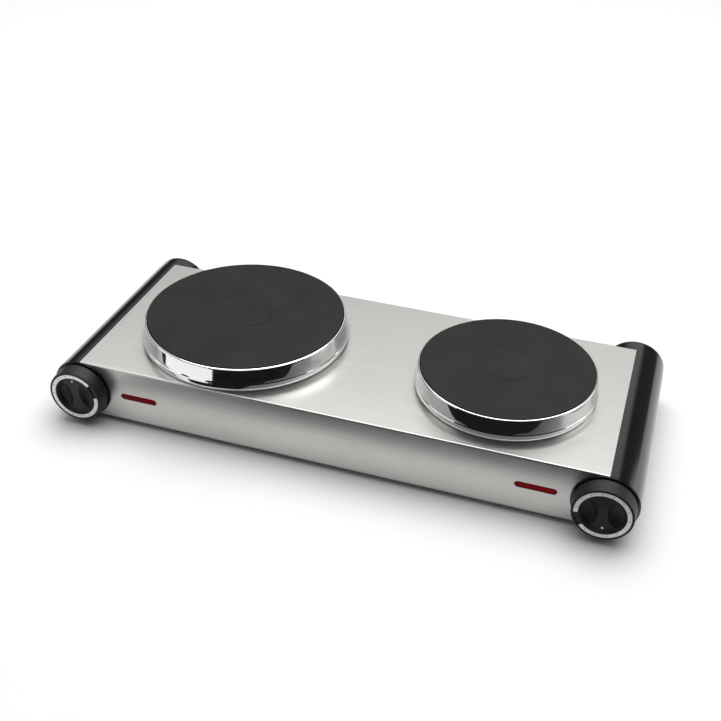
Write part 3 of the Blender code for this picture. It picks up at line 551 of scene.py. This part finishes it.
# %% [markdown]
# ## The deck
#
# One sheet of steel makes the top, the front and the back: it is folded down along both long
# edges and turned in at the bottom. The folds are tight but not sharp, and that thin rounded
# edge is what catches the light along the front.


# %% Fold the sheet
def folded_sheet(thickness, fold, flange):
    outside = [(-FRONT_Y + flange, PANEL_BOTTOM, 0), (-FRONT_Y, PANEL_BOTTOM, fold),
               (-FRONT_Y, DECK_TOP, fold), (FRONT_Y, DECK_TOP, fold),
               (FRONT_Y, PANEL_BOTTOM, fold), (FRONT_Y - flange, PANEL_BOTTOM, 0)]
    low = PANEL_BOTTOM + thickness
    high = DECK_TOP - thickness
    wall = FRONT_Y - thickness
    inner = fold - thickness
    inside = [(FRONT_Y - flange, low, 0), (wall, low, inner), (wall, high, inner),
              (-wall, high, inner), (-wall, low, inner), (-FRONT_Y + flange, low, 0)]
    section = soften(outside, closed=False, steps=6) + soften(inside, closed=False, steps=6)
    return skinned([[(x, y, z) for y, z in section] for x in (-END_X, END_X)])


# %% [markdown]
# The sheet is punched before folding: a slot for each lamp, round notches for the ends, a hole
# under each plate, and one for the cord's gland. On a drawing, cutting the folded sheet is easier.

# %% Punch and place the deck
SHEET = 0.8 * MM
LAMP = {side: middle(side + "_lamp_lens") for side in SIDES}
LENS_CLEARANCE = 0.3 * MM
LENS_FLANGE = 2.0 * MM
lens_size = size("left_lamp_lens")
lens_length = lens_size.x - 2 * LENS_FLANGE
lens_height = lens_size.z - 2 * LENS_FLANGE
NOTCH_RADIUS = 22.3 * MM
HOLE_INSET = 12 * MM
GLAND_HOLE = 7.3 * MM
FOLD = 1.1 * MM
FLANGE = 10 * MM

deck_cutters = []
for side, sign in SIDES.items():
    slot_outline = stadium(LAMP[side].x, LAMP[side].z, lens_length, lens_height)
    deck_cutters.append(pressed(slot_outline, -FRONT_Y - SHEET, -FRONT_Y + 2 * SHEET))
    for face in (-1, 1):
        deck_cutters.append(rod(NOTCH_RADIUS, (sign * END_X, face * (FRONT_Y + SHEET), AXIS_Z),
                                (sign * END_X, face * (FRONT_Y - 2 * SHEET), AXIS_Z), 96))
for spot, radius in PLATES.values():
    deck_cutters.append(rod(radius - HOLE_INSET, (spot.x, spot.y, DECK_TOP - 2 * SHEET),
                            (spot.x, spot.y, DECK_TOP + SHEET), 96))
gland = middle("cord_gland")
deck_cutters.append(rod(GLAND_HOLE, (gland.x, FRONT_Y - 2 * SHEET, gland.z),
                        (gland.x, FRONT_Y + SHEET, gland.z)))
deck_mesh = carve(folded_sheet(SHEET, FOLD, FLANGE), deck_cutters, bevel=0.12 * MM)
deck = piece("deck_sheet", deck_mesh, STEEL, "housing", ["deck"], sharp=20)

# %% [markdown]
# The shader has to know which way the sheet was brushed. A map laid along X tells it, on the top
# and on the folded panels alike.

# %% Lay a map along the grain
grain = deck.data.uv_layers.new(name="grain")
for loop in deck.data.loops:
    spot = deck.data.vertices[loop.vertex_index].co
    grain.data[loop.index].uv = (spot.x, spot.y + spot.z)
print("grain runs along X on", len(deck.data.loops), "corners")

# %% [markdown]
# ## The round ends
#
# Each end is a moulded half tube that closes the side of the housing, with a tongue under the
# deck and another over the base. The tongues stop short of the folded panels, so a thin block is
# cut away at the front and at the back.


# %% Mould the end tubes
def end_outline(sign):
    radius = size("left_end_cover").z / 2
    wall = 2 * MM
    crest = END_X + 0.3 * MM
    under_deck = DECK_TOP - SHEET - 0.3 * MM
    over_base = PANEL_BOTTOM + SHEET + 0.3 * MM
    outer_steps = 72
    inner_steps = 40
    outline = []
    for i in range(outer_steps + 1):
        angle = math.pi / 2 - math.pi * i / outer_steps
        outline.append((crest + (radius - 0.3 * MM) * math.cos(angle), AXIS_Z + radius * math.sin(angle)))
    outline += [(crest, over_base), (END_X - 19.7 * MM, over_base), (END_X - 19.7 * MM, over_base + wall)]
    bore = radius - wall
    low = math.asin((over_base + wall - AXIS_Z) / bore)
    high = math.asin((under_deck - wall - AXIS_Z) / bore)
    for i in range(inner_steps + 1):
        angle = low + (high - low) * i / inner_steps
        outline.append((END_X + bore * math.cos(angle), AXIS_Z + bore * math.sin(angle)))
    outline += [(END_X - 9.7 * MM, under_deck - wall), (END_X - 9.7 * MM, under_deck), (crest, under_deck)]
    return [(sign * x, z) for x, z in outline]


TONGUE_CLEARANCE = 1.4 * MM
TONGUE_WIDTH = 22 * MM
for side, sign in SIDES.items():
    inner_x = sign * (END_X + 0.3 * MM - TONGUE_WIDTH / 2)
    extent = (TONGUE_WIDTH, 2 * TONGUE_CLEARANCE, DECK_TOP * 1.2)
    cutters = [block((inner_x, face * FRONT_Y, DECK_TOP / 2), extent) for face in (-1, 1)]
    tube = carve(pressed(end_outline(sign), -FRONT_Y, FRONT_Y), cutters)
    piece(side + "_end_tube", tube, GLOSS, "housing", [side + "_end_cover"], sharp=40)


# %% [markdown]
# A bezel plugs each tube at the front, behind the knob, and a round cap plugs it at the back. Both
# are round, so both are turned, with a short spigot that reaches into the tube.


# %% Turn the bezels and the rear caps
SPIGOT_RADIUS = 22 * MM
SPIGOT_WALL = 2 * MM
SPIGOT_REACH = 8.8 * MM


def bezel_outline():
    front = -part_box("left_front_bezel")[0][1]
    plate_back = FRONT_Y + 0.3 * MM
    radius = size("left_front_bezel").x / 2
    inside = SPIGOT_RADIUS - SPIGOT_WALL
    end = plate_back - SPIGOT_REACH
    return soften([(4.8 * MM, front, 0), (radius, front, 0.35 * MM), (radius, plate_back, 0.3 * MM),
                   (SPIGOT_RADIUS, plate_back, 0), (SPIGOT_RADIUS, end, 0.3 * MM),
                   (inside, end, 0.3 * MM), (inside, plate_back, 0), (4.8 * MM, plate_back, 0)])


def cap_outline():
    """Height runs forwards, so the cap's outer face has the lowest height."""
    back = -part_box("left_rear_cap")[1][1]
    radius = size("left_rear_cap").x / 2
    rim = -FRONT_Y - 0.3 * MM
    inside = SPIGOT_RADIUS - SPIGOT_WALL
    end = rim + SPIGOT_REACH
    return soften([(inside, end, 0.3 * MM), (SPIGOT_RADIUS, end, 0.3 * MM), (SPIGOT_RADIUS, rim, 0),
                   (radius, rim, 0.5 * MM), (radius, back, 2.2 * MM), (radius * 0.80, back, 0.6 * MM),
                   (radius * 0.77, back + 0.6 * MM, 0.6 * MM), (0, back + 0.6 * MM, 0),
                   (0, back + 2.5 * MM, 0), (inside, back + 2.5 * MM, 0.5 * MM)])


for side, sign in SIDES.items():
    axis = on_axis(sign * END_X, AXIS_Z)
    piece(side + "_bezel", lathe(bezel_outline()), GLOSS, "housing",
          [side + "_front_bezel"], axis)
    piece(side + "_cap", lathe(cap_outline()), GLOSS, "housing", [side + "_rear_cap"], axis)


# %% [markdown]
# ## Plates and their trim
#
# A plate is turned flat on top, with a rounded rim and a very shallow circle in the middle,
# where the iron never touches a pan. Underneath it has a skirt and a boss for its stud.


# %% Draw a plate
DIMPLE = {"large": 26.0 * MM, "small": 23.2 * MM}


def plate_outline(top, radius, dimple):
    skirt = radius - 3 * MM
    boss = 10 * MM
    bore = 3.3 * MM
    return soften([(0, top - 0.6 * MM, 0), (dimple - 3.0 * MM, top - 0.6 * MM, 1.5 * MM),
                   (dimple, top, 1.5 * MM), (radius, top, 1.5 * MM), (radius, top - 8 * MM, 0.5 * MM),
                   (skirt, top - 8 * MM, 0.2 * MM), (skirt, top - 14 * MM, 0.5 * MM),
                   (skirt - 5.5 * MM, top - 14 * MM, 0.5 * MM), (skirt - 5.5 * MM, top - 10 * MM, 0.5 * MM),
                   (boss, top - 10 * MM, 0.5 * MM), (boss, top - 15 * MM, 0.5 * MM),
                   (bore, top - 15 * MM, 0), (bore, top - 10 * MM, 0), (0, top - 10 * MM, 0)],
                  closed=False, steps=6)


# %% [markdown]
# The trim is one spun sheet. Its lip rolls over beside the plate and catches the light from
# above, its wall leans out on its way down and mirrors the dark part of the room, and a narrow
# band at the foot curls back under to the deck. The lean matters more than any colour here,
# because it decides what the wall reflects.


# %% Draw the trim, then turn both
def trim_outline(top, lip, radius, wall):
    """Outer side from the seat over the lip and down to the foot, then back up inside."""
    sheet = 0.6 * MM
    foot = DECK_TOP + 0.3 * MM
    shoulder = top - 8.3 * MM
    gap = radius + 0.4 * MM
    room = wall - gap
    roll = 0.40 * room
    edge = gap + 0.75 * roll
    knee = (wall - 0.55 * MM, DECK_TOP + 10.4 * MM)
    tilt = math.degrees(math.atan2(knee[0] - edge, lip - knee[1]))
    print(f"trim wall leans {tilt:.0f} degrees and rolls over with a radius of {roll / MM:.1f} mm")
    outer = [(radius - 2.7 * MM, shoulder, 0), (gap, shoulder, 0.2 * MM), (gap, lip, 0),
             (edge, lip, roll), (*knee, 5 * MM), (wall - 0.4 * MM, DECK_TOP + 8.4 * MM, 0.5 * MM),
             (wall, DECK_TOP + 7.6 * MM, 0.3 * MM), (wall - 0.2 * MM, DECK_TOP + 3.5 * MM, 3 * MM),
             (wall - 1.8 * MM, foot, 0.4 * MM), (radius - 6 * MM, foot, 0)]
    inner = [(radius - 6 * MM, foot + sheet, 0), (wall - 2.4 * MM, foot + sheet, 0.2 * MM),
             (wall - 0.9 * MM, DECK_TOP + 7.2 * MM, 0.3 * MM), (gap + sheet, lip - 3.0 * MM, 0),
             (gap + sheet, shoulder - sheet, 0.2 * MM), (radius - 2.7 * MM, shoulder - sheet, 0)]
    return soften(outer + inner, steps=7)


for name, (spot, radius) in PLATES.items():
    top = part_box(name + "_hotplate")[1][2]
    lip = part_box(name + "_trim_ring")[1][2]
    wall = size(name + "_trim_ring").x / 2
    stand = Matrix.Translation((spot.x, spot.y, 0))
    iron = lathe(plate_outline(top, radius, DIMPLE[name]), 256, closed=False)
    piece(name + "_iron_plate", iron, IRON[name], "housing", [name + "_hotplate"], stand)
    piece(name + "_trim", lathe(trim_outline(top, lip, radius, wall), 256), CHROME, "housing",
          [name + "_trim_ring"], stand)

# %% [markdown]
# ## Knobs
#
# A knob is moulded in one: a skirt with a slight taper, a flat rim, a groove for the bright
# dial, and a sunk face with two finger scoops. Its outer sizes are read from the frame, and the
# finer ones inside the rim are set here, where they are easy to compare.

# %% Measure the knobs
KNOB_FRONT = -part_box("left_knob")[0][1]
KNOB_BACK = -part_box("left_knob")[1][1]
KNOB_RADIUS = size("left_knob").z / 2
DIAL_OUTER = 23.5 * MM
DIAL_INNER = 19.8 * MM
GRIP_RADIUS = 17.4 * MM
GRIP_DEPTH = 2.6 * MM
POINTER = {"left": math.radians(-8), "right": math.radians(174)}
SCOOP = {"offset": 11.6 * MM, "across": 7.6 * MM, "along": 13.6 * MM, "depth": 4.4 * MM}
print(f"knob: radius {KNOB_RADIUS / MM:.1f} mm, depth {(KNOB_FRONT - KNOB_BACK) / MM:.1f} mm")


# %% [markdown]
# What is left between the scoops is the grip, a bar that is narrow at its waist and broad at its
# ends. The face is a disc of fine rings, and each point on it is pushed down by a formula, which
# gives the scoops soft hollows with a clear edge and no cutting.


# %% Mould a knob
def scoop_depth(across, along):
    inside = 1 - ((abs(across) - SCOOP["offset"]) / SCOOP["across"]) ** 2 - (along / SCOOP["along"]) ** 2
    return SCOOP["depth"] * max(0.0, inside) ** 0.8


def knob_shape(angle):
    face = KNOB_FRONT - GRIP_DEPTH
    groove = KNOB_FRONT - 1.3 * MM
    front_radius = KNOB_RADIUS - 1.2 * MM
    hollow = KNOB_BACK + 3.6 * MM
    rings = 44
    rim = KNOB_FRONT - 0.2 * MM
    disc = [(GRIP_RADIUS * i / rings, face, 0) for i in range(rings)]
    body = [(GRIP_RADIUS, face, 0.2 * MM), (DIAL_INNER - 1.0 * MM, rim, 0.4 * MM),
            (DIAL_INNER - 0.2 * MM, rim, 0.1 * MM), (DIAL_INNER - 0.2 * MM, groove, 0),
            (DIAL_OUTER + 0.2 * MM, groove, 0), (DIAL_OUTER + 0.2 * MM, rim + 0.1 * MM, 0.1 * MM),
            (front_radius, rim + 0.1 * MM, 0.8 * MM),
            (KNOB_RADIUS, KNOB_BACK + 1.0 * MM, 1.0 * MM), (KNOB_RADIUS - 0.3 * MM, KNOB_BACK, 0.2 * MM),
            (KNOB_RADIUS - 2.4 * MM, KNOB_BACK, 0.3 * MM), (KNOB_RADIUS - 2.4 * MM, hollow, 0.5 * MM),
            (6 * MM, hollow, 0.3 * MM), (6 * MM, hollow - 1.2 * MM, 0.2 * MM),
            (3.4 * MM, hollow - 1.2 * MM, 0),
            (3.4 * MM, KNOB_FRONT - 5.5 * MM, 0), (0, KNOB_FRONT - 5.5 * MM, 0)]
    bm = lathe(soften(disc + body, closed=False), 160, closed=False)
    for vertex in bm.verts:
        across, up, height = vertex.co
        if height > face - 0.01 * MM and math.hypot(across, up) < GRIP_RADIUS:
            along = across * math.sin(angle) + up * math.cos(angle)
            beside = across * math.cos(angle) - up * math.sin(angle)
            vertex.co.z -= scoop_depth(beside, along)
    return bm


for side, sign in SIDES.items():
    piece(side + "_knob_body", knob_shape(POINTER[side]), MATT, CONTROL[side], [side + "_knob"],
          on_axis(sign * END_X, AXIS_Z), sharp=38)


# %% [markdown]
# The dial sits in the groove and stops short of a full circle: the plain stretch marks where
# the heat is off. It is swept round the axis from a small rounded section.


# %% Sweep the dials
def swept(section, start, stop, steps):
    """Sweep (radius, height) points round Z between two angles, measured clockwise from the top."""
    rows = []
    for i in range(steps + 1):
        angle = math.pi / 2 - (start + (stop - start) * i / steps)
        rows.append([(r * math.cos(angle), r * math.sin(angle), h) for r, h in section])
    return skinned(rows)


DIAL_GAP = math.radians(36)
GAP_FROM_POINTER = math.radians(72)
dial_top = KNOB_FRONT - 0.3 * MM
dial_section = soften([(DIAL_INNER, dial_top - 0.7 * MM, 0), (DIAL_OUTER, dial_top - 0.7 * MM, 0),
                       (DIAL_OUTER, dial_top, 0.3 * MM), (DIAL_INNER, dial_top, 0.3 * MM)])
for side, sign in SIDES.items():
    begin = POINTER[side] + GAP_FROM_POINTER + DIAL_GAP / 2
    ring = swept(dial_section, begin, begin + 2 * math.pi - DIAL_GAP, 160)
    piece(side + "_dial", ring, DIAL[side], CONTROL[side], [side + "_dial_ring"],
          on_axis(sign * END_X, AXIS_Z))

# %% [markdown]
# Marks and screws repeat, which is work for Geometry Nodes. Every tree here ends the same
# way: its copies are made real and given a finish. A tree is run once on a spare object, and
# what it grows is kept as a plain mesh.


# %% Start, end and run a tree
def new_tree(name, **inputs):
    tree = bpy.data.node_groups.new(name, "GeometryNodeTree")
    tree.interface.new_socket("Geometry", in_out="OUTPUT", socket_type="NodeSocketGeometry")
    for label, kind in inputs.items():
        tree.interface.new_socket(label, in_out="INPUT", socket_type="NodeSocket" + kind)
    return tree, tree.nodes.new, tree.links.new, tree.nodes.new("NodeGroupInput")


def end_tree(tree, copies, finish):
    add = tree.nodes.new
    link = tree.links.new
    real = add("GeometryNodeRealizeInstances")
    link(copies, real.inputs["Geometry"])
    paint = add("GeometryNodeSetMaterial")
    link(real.outputs["Geometry"], paint.inputs["Geometry"])
    link(finish, paint.inputs["Material"])
    link(paint.outputs["Geometry"], add("NodeGroupOutput").inputs["Geometry"])
    return tree


def grown(tree, values, mesh=None):
    """Run a tree once on a new object and hand back the result as a bmesh."""
    seed = placed("seed", mesh or bpy.data.meshes.new("seed"))
    step = seed.modifiers.new("grow", "NODES")
    step.node_group = tree
    for entry in tree.interface.items_tree:
        if entry.in_out == "INPUT" and entry.name in values:
            step[entry.identifier] = values[entry.name]
    return read_off(seed)


# %% [markdown]
# For the dial, the tree puts one small bar at each step of an angle and turns it to point at the
# axis. Its inputs are the number of marks, their radius, the angle they start from and their step.


# %% Build the dial marks tree
def marks_tree():
    tree, add, link, given = new_tree("dial_marks", Count="Int", Radius="Float", Start="Float", Step="Float",
                                      Bar="Vector", Ink="Material")
    points = add("GeometryNodePoints")
    link(given.outputs["Count"], points.inputs["Count"])
    index = add("GeometryNodeInputIndex")
    turn = add("ShaderNodeMath")
    turn.operation = "MULTIPLY_ADD"
    link(index.outputs["Index"], turn.inputs[0])
    link(given.outputs["Step"], turn.inputs[1])
    link(given.outputs["Start"], turn.inputs[2])
    spot = add("ShaderNodeCombineXYZ")
    link(given.outputs["Radius"], spot.inputs["Y"])
    spin = add("ShaderNodeVectorRotate")
    spin.rotation_type = "Z_AXIS"
    link(spot.outputs["Vector"], spin.inputs["Vector"])
    link(turn.outputs["Value"], spin.inputs["Angle"])
    link(spin.outputs["Vector"], points.inputs["Position"])
    aim = add("ShaderNodeCombineXYZ")
    link(turn.outputs["Value"], aim.inputs["Z"])
    bar = add("GeometryNodeMeshCube")
    link(given.outputs["Bar"], bar.inputs["Size"])
    copies = add("GeometryNodeInstanceOnPoints")
    link(points.outputs["Points"], copies.inputs["Points"])
    link(bar.outputs["Mesh"], copies.inputs["Instance"])
    link(aim.outputs["Vector"], copies.inputs["Rotation"])
    return end_tree(tree, copies.outputs["Instances"], given.outputs["Ink"])


# %% [markdown]
# Thirteen plain ticks divide the dial, with no figures beside them.

# %% Print the marks
MARKS = marks_tree()
MARK_COUNT = 13
MARK_MARGIN = math.radians(15)
mark_span = 2 * math.pi - DIAL_GAP - 2 * MARK_MARGIN
for side, sign in SIDES.items():
    begin = POINTER[side] + GAP_FROM_POINTER + DIAL_GAP / 2 + MARK_MARGIN
    marks = grown(MARKS, {"Count": MARK_COUNT, "Radius": (DIAL_INNER + DIAL_OUTER) / 2, "Start": -begin,
                          "Step": -mark_span / (MARK_COUNT - 1), "Bar": (0.45 * MM, 1.6 * MM, 0.06 * MM),
                          "Ink": INK})
    lift = on_axis(sign * END_X, AXIS_Z) @ Matrix.Translation((0, 0, dial_top))
    piece(side + "_dial_marks", marks, INK, CONTROL[side], (), lift)

# %% [markdown]
# The pointer is a drop of paint at one end of the grip, turned as a very low button.

# %% Dab the pointers
POINTER_SPOT = (0, 15.0 * MM, KNOB_FRONT - GRIP_DEPTH)
for side, sign in SIDES.items():
    dot = lathe(soften([(0, 0.08 * MM, 0), (0.95 * MM, 0.08 * MM, 0.05 * MM), (1.0 * MM, -0.05 * MM, 0),
                        (0, -0.05 * MM, 0)], closed=False), 32, closed=False)
    reach = Matrix.Rotation(-POINTER[side], 4, "Z") @ Matrix.Translation(POINTER_SPOT)
    piece(side + "_pointer", dot, PAINT, CONTROL[side], (),
          on_axis(sign * END_X, AXIS_Z) @ reach)

# %% [markdown]
# ## Lamp lenses
#
# Each lens is pressed into its slot from behind. Its face is slightly crowned, so a thin bright
# line runs along it, and a flange holds it against the back of the panel.


# %% Make the lenses
def lens_shape(spot):
    """Stack slot outlines from the crowned face back to the flange."""
    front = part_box("left_lamp_lens")[0][1]
    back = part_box("left_lamp_lens")[1][1]
    length = lens_length - LENS_CLEARANCE
    height = lens_height - LENS_CLEARANCE
    panel = -FRONT_Y + SHEET + 0.3 * MM
    flange = -2 * LENS_FLANGE / MM
    stages = [(1.9, front), (1.2, front + 0.05 * MM), (0.6, front + 0.18 * MM), (0.2, front + 0.4 * MM),
              (0.0, front + 0.8 * MM), (0.0, panel), (flange, panel), (flange, back)]
    return skinned([[(x, y, z) for x, z in stadium(spot.x, spot.z, length - inset * MM, height - inset * MM)]
                    for inset, y in stages])


for side in SIDES:
    piece(side + "_lens", lens_shape(LAMP[side]), LENS, "housing", [side + "_lamp_lens"],
          sharp=50)


# %% [markdown]
# ## Feet, screws and the cord's way out
#
# Under the base are four rubber feet, turned like everything round, each with a screw sunk in it.


# %% Mould the feet
def foot_outline(height, radius):
    return soften([(2.0 * MM, height, 0), (radius, height, 0.4 * MM), (radius - 1.4 * MM, 0, 0.8 * MM),
                   (6.4 * MM, 0, 0.3 * MM), (6.1 * MM, 0.5 * MM, 0.2 * MM), (5.3 * MM, 0.5 * MM, 0.2 * MM),
                   (5.0 * MM, 0, 0.3 * MM), (4.0 * MM, 0, 0.2 * MM), (4.0 * MM, 2.6 * MM, 0.2 * MM),
                   (2.0 * MM, 2.6 * MM, 0)])


for end in ("front", "rear"):
    for side in SIDES:
        name = f"{end}_{side}_foot"
        spot = middle(name)
        pad = lathe(foot_outline(size(name).z, size(name).x / 2), 96)
        piece(name + "_pad", pad, RUBBER, "housing", [name], Matrix.Translation((spot.x, spot.y, 0)))

# %% [markdown]
# The gland is a turned rubber bush in the rear panel. Its middle stays open, because the cord
# itself isn't part of this model.

# %% Mould the gland
outer = -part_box("cord_gland")[1][1]
inner = -FRONT_Y + 9 * MM
panel_face = -FRONT_Y - 0.3 * MM
gland_outline = soften([(3.7 * MM, inner, 0.3 * MM), (7 * MM, inner, 0.5 * MM), (7 * MM, panel_face, 0),
                        (9.4 * MM, panel_face, 0.3 * MM), (9.4 * MM, outer + 1.6 * MM, 0.8 * MM),
                        (6 * MM, outer, 0.6 * MM), (3.7 * MM, outer, 0.6 * MM)])
piece("gland", lathe(gland_outline, 96), RUBBER, "housing", ["cord_gland"],
      on_axis(gland.x, gland.z))


# %% [markdown]
# Four screws hold the feet and four more the base pan. They are alike, so one is made and a tree
# sets copies of it at the places that the frame gives, each turned by chance, as a hand leaves
# them. The seed is fixed, so the chance is the same every time.


# %% Build the screw tree
def scatter_tree():
    tree, add, link, given = new_tree("screws_at_places", Places="Geometry", Screw="Object", Turn="Float",
                                      Seed="Int", Finish="Material")
    pattern = add("GeometryNodeObjectInfo")
    link(given.outputs["Screw"], pattern.inputs["Object"])
    chance = add("FunctionNodeRandomValue")
    chance.data_type = "FLOAT"
    link(given.outputs["Turn"], chance.inputs[3])
    link(given.outputs["Seed"], chance.inputs["Seed"])
    spin = add("ShaderNodeCombineXYZ")
    link(chance.outputs[1], spin.inputs["Z"])
    copies = add("GeometryNodeInstanceOnPoints")
    link(given.outputs["Places"], copies.inputs["Points"])
    link(pattern.outputs["Geometry"], copies.inputs["Instance"])
    link(spin.outputs["Vector"], copies.inputs["Rotation"])
    return end_tree(tree, copies.outputs["Instances"], given.outputs["Finish"])


# %% [markdown]
# The screw is turned with a low pan head, and two thin blocks cut the cross in it. The shank is
# plain, since its thread is never seen.


# %% Make one screw and set all eight
HEAD_HEIGHT = 1.5 * MM


def screw_pattern(length):
    """Pan head down, shank up, with a cross recess; its origin is under the head."""
    head = 3.4 * MM
    shank = 1.6 * MM
    outline = soften([(0, -HEAD_HEIGHT, 0), (2.0 * MM, -HEAD_HEIGHT, 0.8 * MM), (head, -0.5 * MM, 0.5 * MM),
                      (head, 0, 0.1 * MM), (shank, 0, 0.1 * MM), (shank, length - shank, 0),
                      (shank / 2, length, 0), (0, length, 0)], closed=False)
    arms = [block((0, 0, -HEAD_HEIGHT), (wide * MM, deep * MM, 1.6 * MM))
            for wide, deep in ((0.8, 3.6), (3.6, 0.8))]
    return carve(lathe(outline, 40, closed=False), arms)


screw_names = sorted(name for name in nodes if name.endswith("_screw"))
SCREWS = scatter_tree()
for kind in ("foot", "base"):
    names = [name for name in screw_names if name.endswith(kind + "_screw")]
    spots = bpy.data.meshes.new("spots")
    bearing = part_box(names[0])[0][2] + HEAD_HEIGHT
    spots.from_pydata([(middle(name).x, middle(name).y, bearing) for name in names], [], [])
    length = min(size(name).z for name in names) - HEAD_HEIGHT
    pattern = loose("pattern", screw_pattern(length))
    screws = grown(SCREWS, {"Screw": pattern, "Turn": math.tau, "Seed": 7, "Finish": ZINC}, spots)
    bpy.data.objects.remove(pattern, do_unlink=True)
    piece(kind + "_screws", screws, ZINC, "housing", names)

# %% [markdown]
# ## Floor, light and camera
#
# The appliance stands on a wide white table, matt enough to show no reflection of it.

# %% Floor
floor_mesh = bpy.data.meshes.new("floor")
reach = 6.0
floor_mesh.from_pydata([(-reach, -reach, 0), (reach, -reach, 0), (reach, reach, 0), (-reach, reach, 0)], [],
                       [(0, 1, 2, 3)])
floor = placed("floor", floor_mesh)
floor_mesh.materials.append(speckled("white_table", (0.93, 0.93, 0.93), 0.90, 30.0, 0.00005, spread=0.01,
                                     Specular_IOR_Level=0.2))
floor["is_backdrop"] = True

# %% [markdown]
# The room is bright above and behind, and dark low down and on the camera's side. That dark part
# is what draws the black shapes in polished trim. The backdrop itself stays pale: the camera sees
# at least full white wherever it looks past the table.

# %% The room's own light
world = bpy.data.worlds.new("studio")
bpy.context.scene.world = world
world.use_nodes = True
air = world.node_tree
background = air.nodes["Background"]
ways = air.nodes.new("ShaderNodeTexCoord")
parts = air.nodes.new("ShaderNodeSeparateXYZ")
air.links.new(ways.outputs["Generated"], parts.inputs["Vector"])


def faded(source, low, high, dark, bright):
    made = air.nodes.new("ShaderNodeMapRange")
    made.interpolation_type = "SMOOTHSTEP"
    for key, value in (("From Min", low), ("From Max", high), ("To Min", dark), ("To Max", bright)):
        made.inputs[key].default_value = value
    air.links.new(source, made.inputs["Value"])
    return made.outputs["Result"]


def combined(first, second, operation):
    made = air.nodes.new("ShaderNodeMath")
    made.operation = operation
    air.links.new(first, made.inputs[0])
    air.links.new(second, made.inputs[1])
    return made.outputs["Value"]


tilt = combined(parts.outputs["Z"], faded(parts.outputs["X"], 0.0, 0.5, 0.0, 0.28), "SUBTRACT")
zenith = faded(parts.outputs["Z"], 0.70, 0.97, 0.0, 0.80)
ceiling = combined(faded(tilt, 0.30, 0.48, 0.08, 0.95), zenith, "ADD")
sideways = faded(parts.outputs["X"], -0.6, 0.1, 0.62, 1.05)
frontways = faded(parts.outputs["Y"], -0.7, 0.3, 0.24, 1.08)
room_light = combined(combined(ceiling, sideways, "MULTIPLY"), frontways, "MULTIPLY")
seen = air.nodes.new("ShaderNodeLightPath")
air.links.new(combined(room_light, seen.outputs["Is Camera Ray"], "MAXIMUM"), background.inputs["Strength"])
background.inputs["Color"].default_value = (1.0, 1.0, 0.99, 1.0)


# %% [markdown]
# A broad soft box hangs overhead and a little behind, so the shadow falls forwards and stays
# soft. Two upright cards stand left and right. They show in reflections only, as white patches
# on the trim, and throw no light on the table.


# %% Soft boxes
def soft_box(name, spot, aim, width, height, brightness, lights_floor=True):
    """A flat rectangular light. Its power grows with its area, so its brightness is what is given."""
    light = bpy.data.lights.new(name, "AREA")
    light.shape = "RECTANGLE"
    light.size = width
    light.size_y = height
    light.energy = brightness * math.pi * width * height
    item = placed(name, light)
    item.location = spot
    item.rotation_euler = (Vector(aim) - Vector(spot)).to_track_quat("-Z", "Y").to_euler()
    item.visible_camera = False
    item.visible_diffuse = lights_floor


soft_box("overhead", (0.0, 0.68, 2.15), (0, 0, 0), 2.7, 1.8, 2.15)
soft_box("left_card", (-0.95, -0.75, 0.30), (-0.1, 0, 0.30), 1.40, 0.60, 0.9, False)
soft_box("right_card", (1.05, 0.30, 0.30), (0.1, 0, 0.30), 0.95, 0.60, 1.1, False)

# %% [markdown]
# Polished metal needs something dark to mirror, or it looks flat. This black card lies on the
# table in front of the appliance, is folded up at its far edge, and shows in reflections only.

# %% Black card
NEAR, FAR, LEFT, RIGHT = -0.15, -0.345, -0.165, 0.90
card_mesh = bpy.data.meshes.new("black_card")
card_mesh.from_pydata([(-0.24, NEAR, 0.0), (RIGHT, NEAR, 0.0), (RIGHT, FAR, 0.0), (LEFT, FAR, 0.0),
                       (LEFT, -0.20, 0.0), (-0.24, -0.19, 0.0), (RIGHT, FAR, 0.24), (LEFT, FAR, 0.24)],
                      [], [(0, 1, 2, 3, 4, 5), (3, 2, 6, 7)])
card = placed("black_card", card_mesh)
card.location.z = 0.5 * MM
card_mesh.materials.append(speckled("black_felt", (0.010, 0.010, 0.010), 1.0, 900.0, 0.0001,
                                    Specular_IOR_Level=0.0))
for kind in ("camera", "diffuse", "shadow", "transmission"):
    setattr(card, "visible_" + kind, False)
card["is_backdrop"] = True
bpy.context.scene.view_settings.view_transform = "Standard"

# %% [markdown]
# The camera looks down from the front right through a normal lens, tipped by about one degree
# about its own line of sight.

# %% Camera
AZIMUTH = math.radians(17.74)
ELEVATION = math.radians(34.42)
ROLL = math.radians(1.076)
DISTANCE = 1.0705
TARGET = Vector((-0.0237, 0.0680, PANEL_BOTTOM))
back = Vector((math.sin(AZIMUTH) * math.cos(ELEVATION), -math.cos(AZIMUTH) * math.cos(ELEVATION),
               math.sin(ELEVATION)))
right = Vector((0, 0, 1)).cross(back).normalized()
up = back.cross(right)
tilted_right = right * math.cos(ROLL) + up * math.sin(ROLL)
tilted_up = up * math.cos(ROLL) - right * math.sin(ROLL)
camera_data = bpy.data.cameras.new("camera")
camera_data.sensor_width = 36.0
camera_data.lens = 52.81
camera = placed("camera", camera_data)
turn = Matrix((tilted_right, tilted_up, back)).transposed().to_4x4()
camera.matrix_world = Matrix.Translation(TARGET + back * DISTANCE) @ turn
bpy.context.scene.camera = camera

# %% [markdown]
# At the end the dressed model's box is printed beside the frame's own.

# %% Print both boxes and finish
visual_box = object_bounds()
for label, (low, high) in (("cad", cad_box), ("visual", visual_box)):
    print(label, [round(value, 4) for value in (*low, *high)])
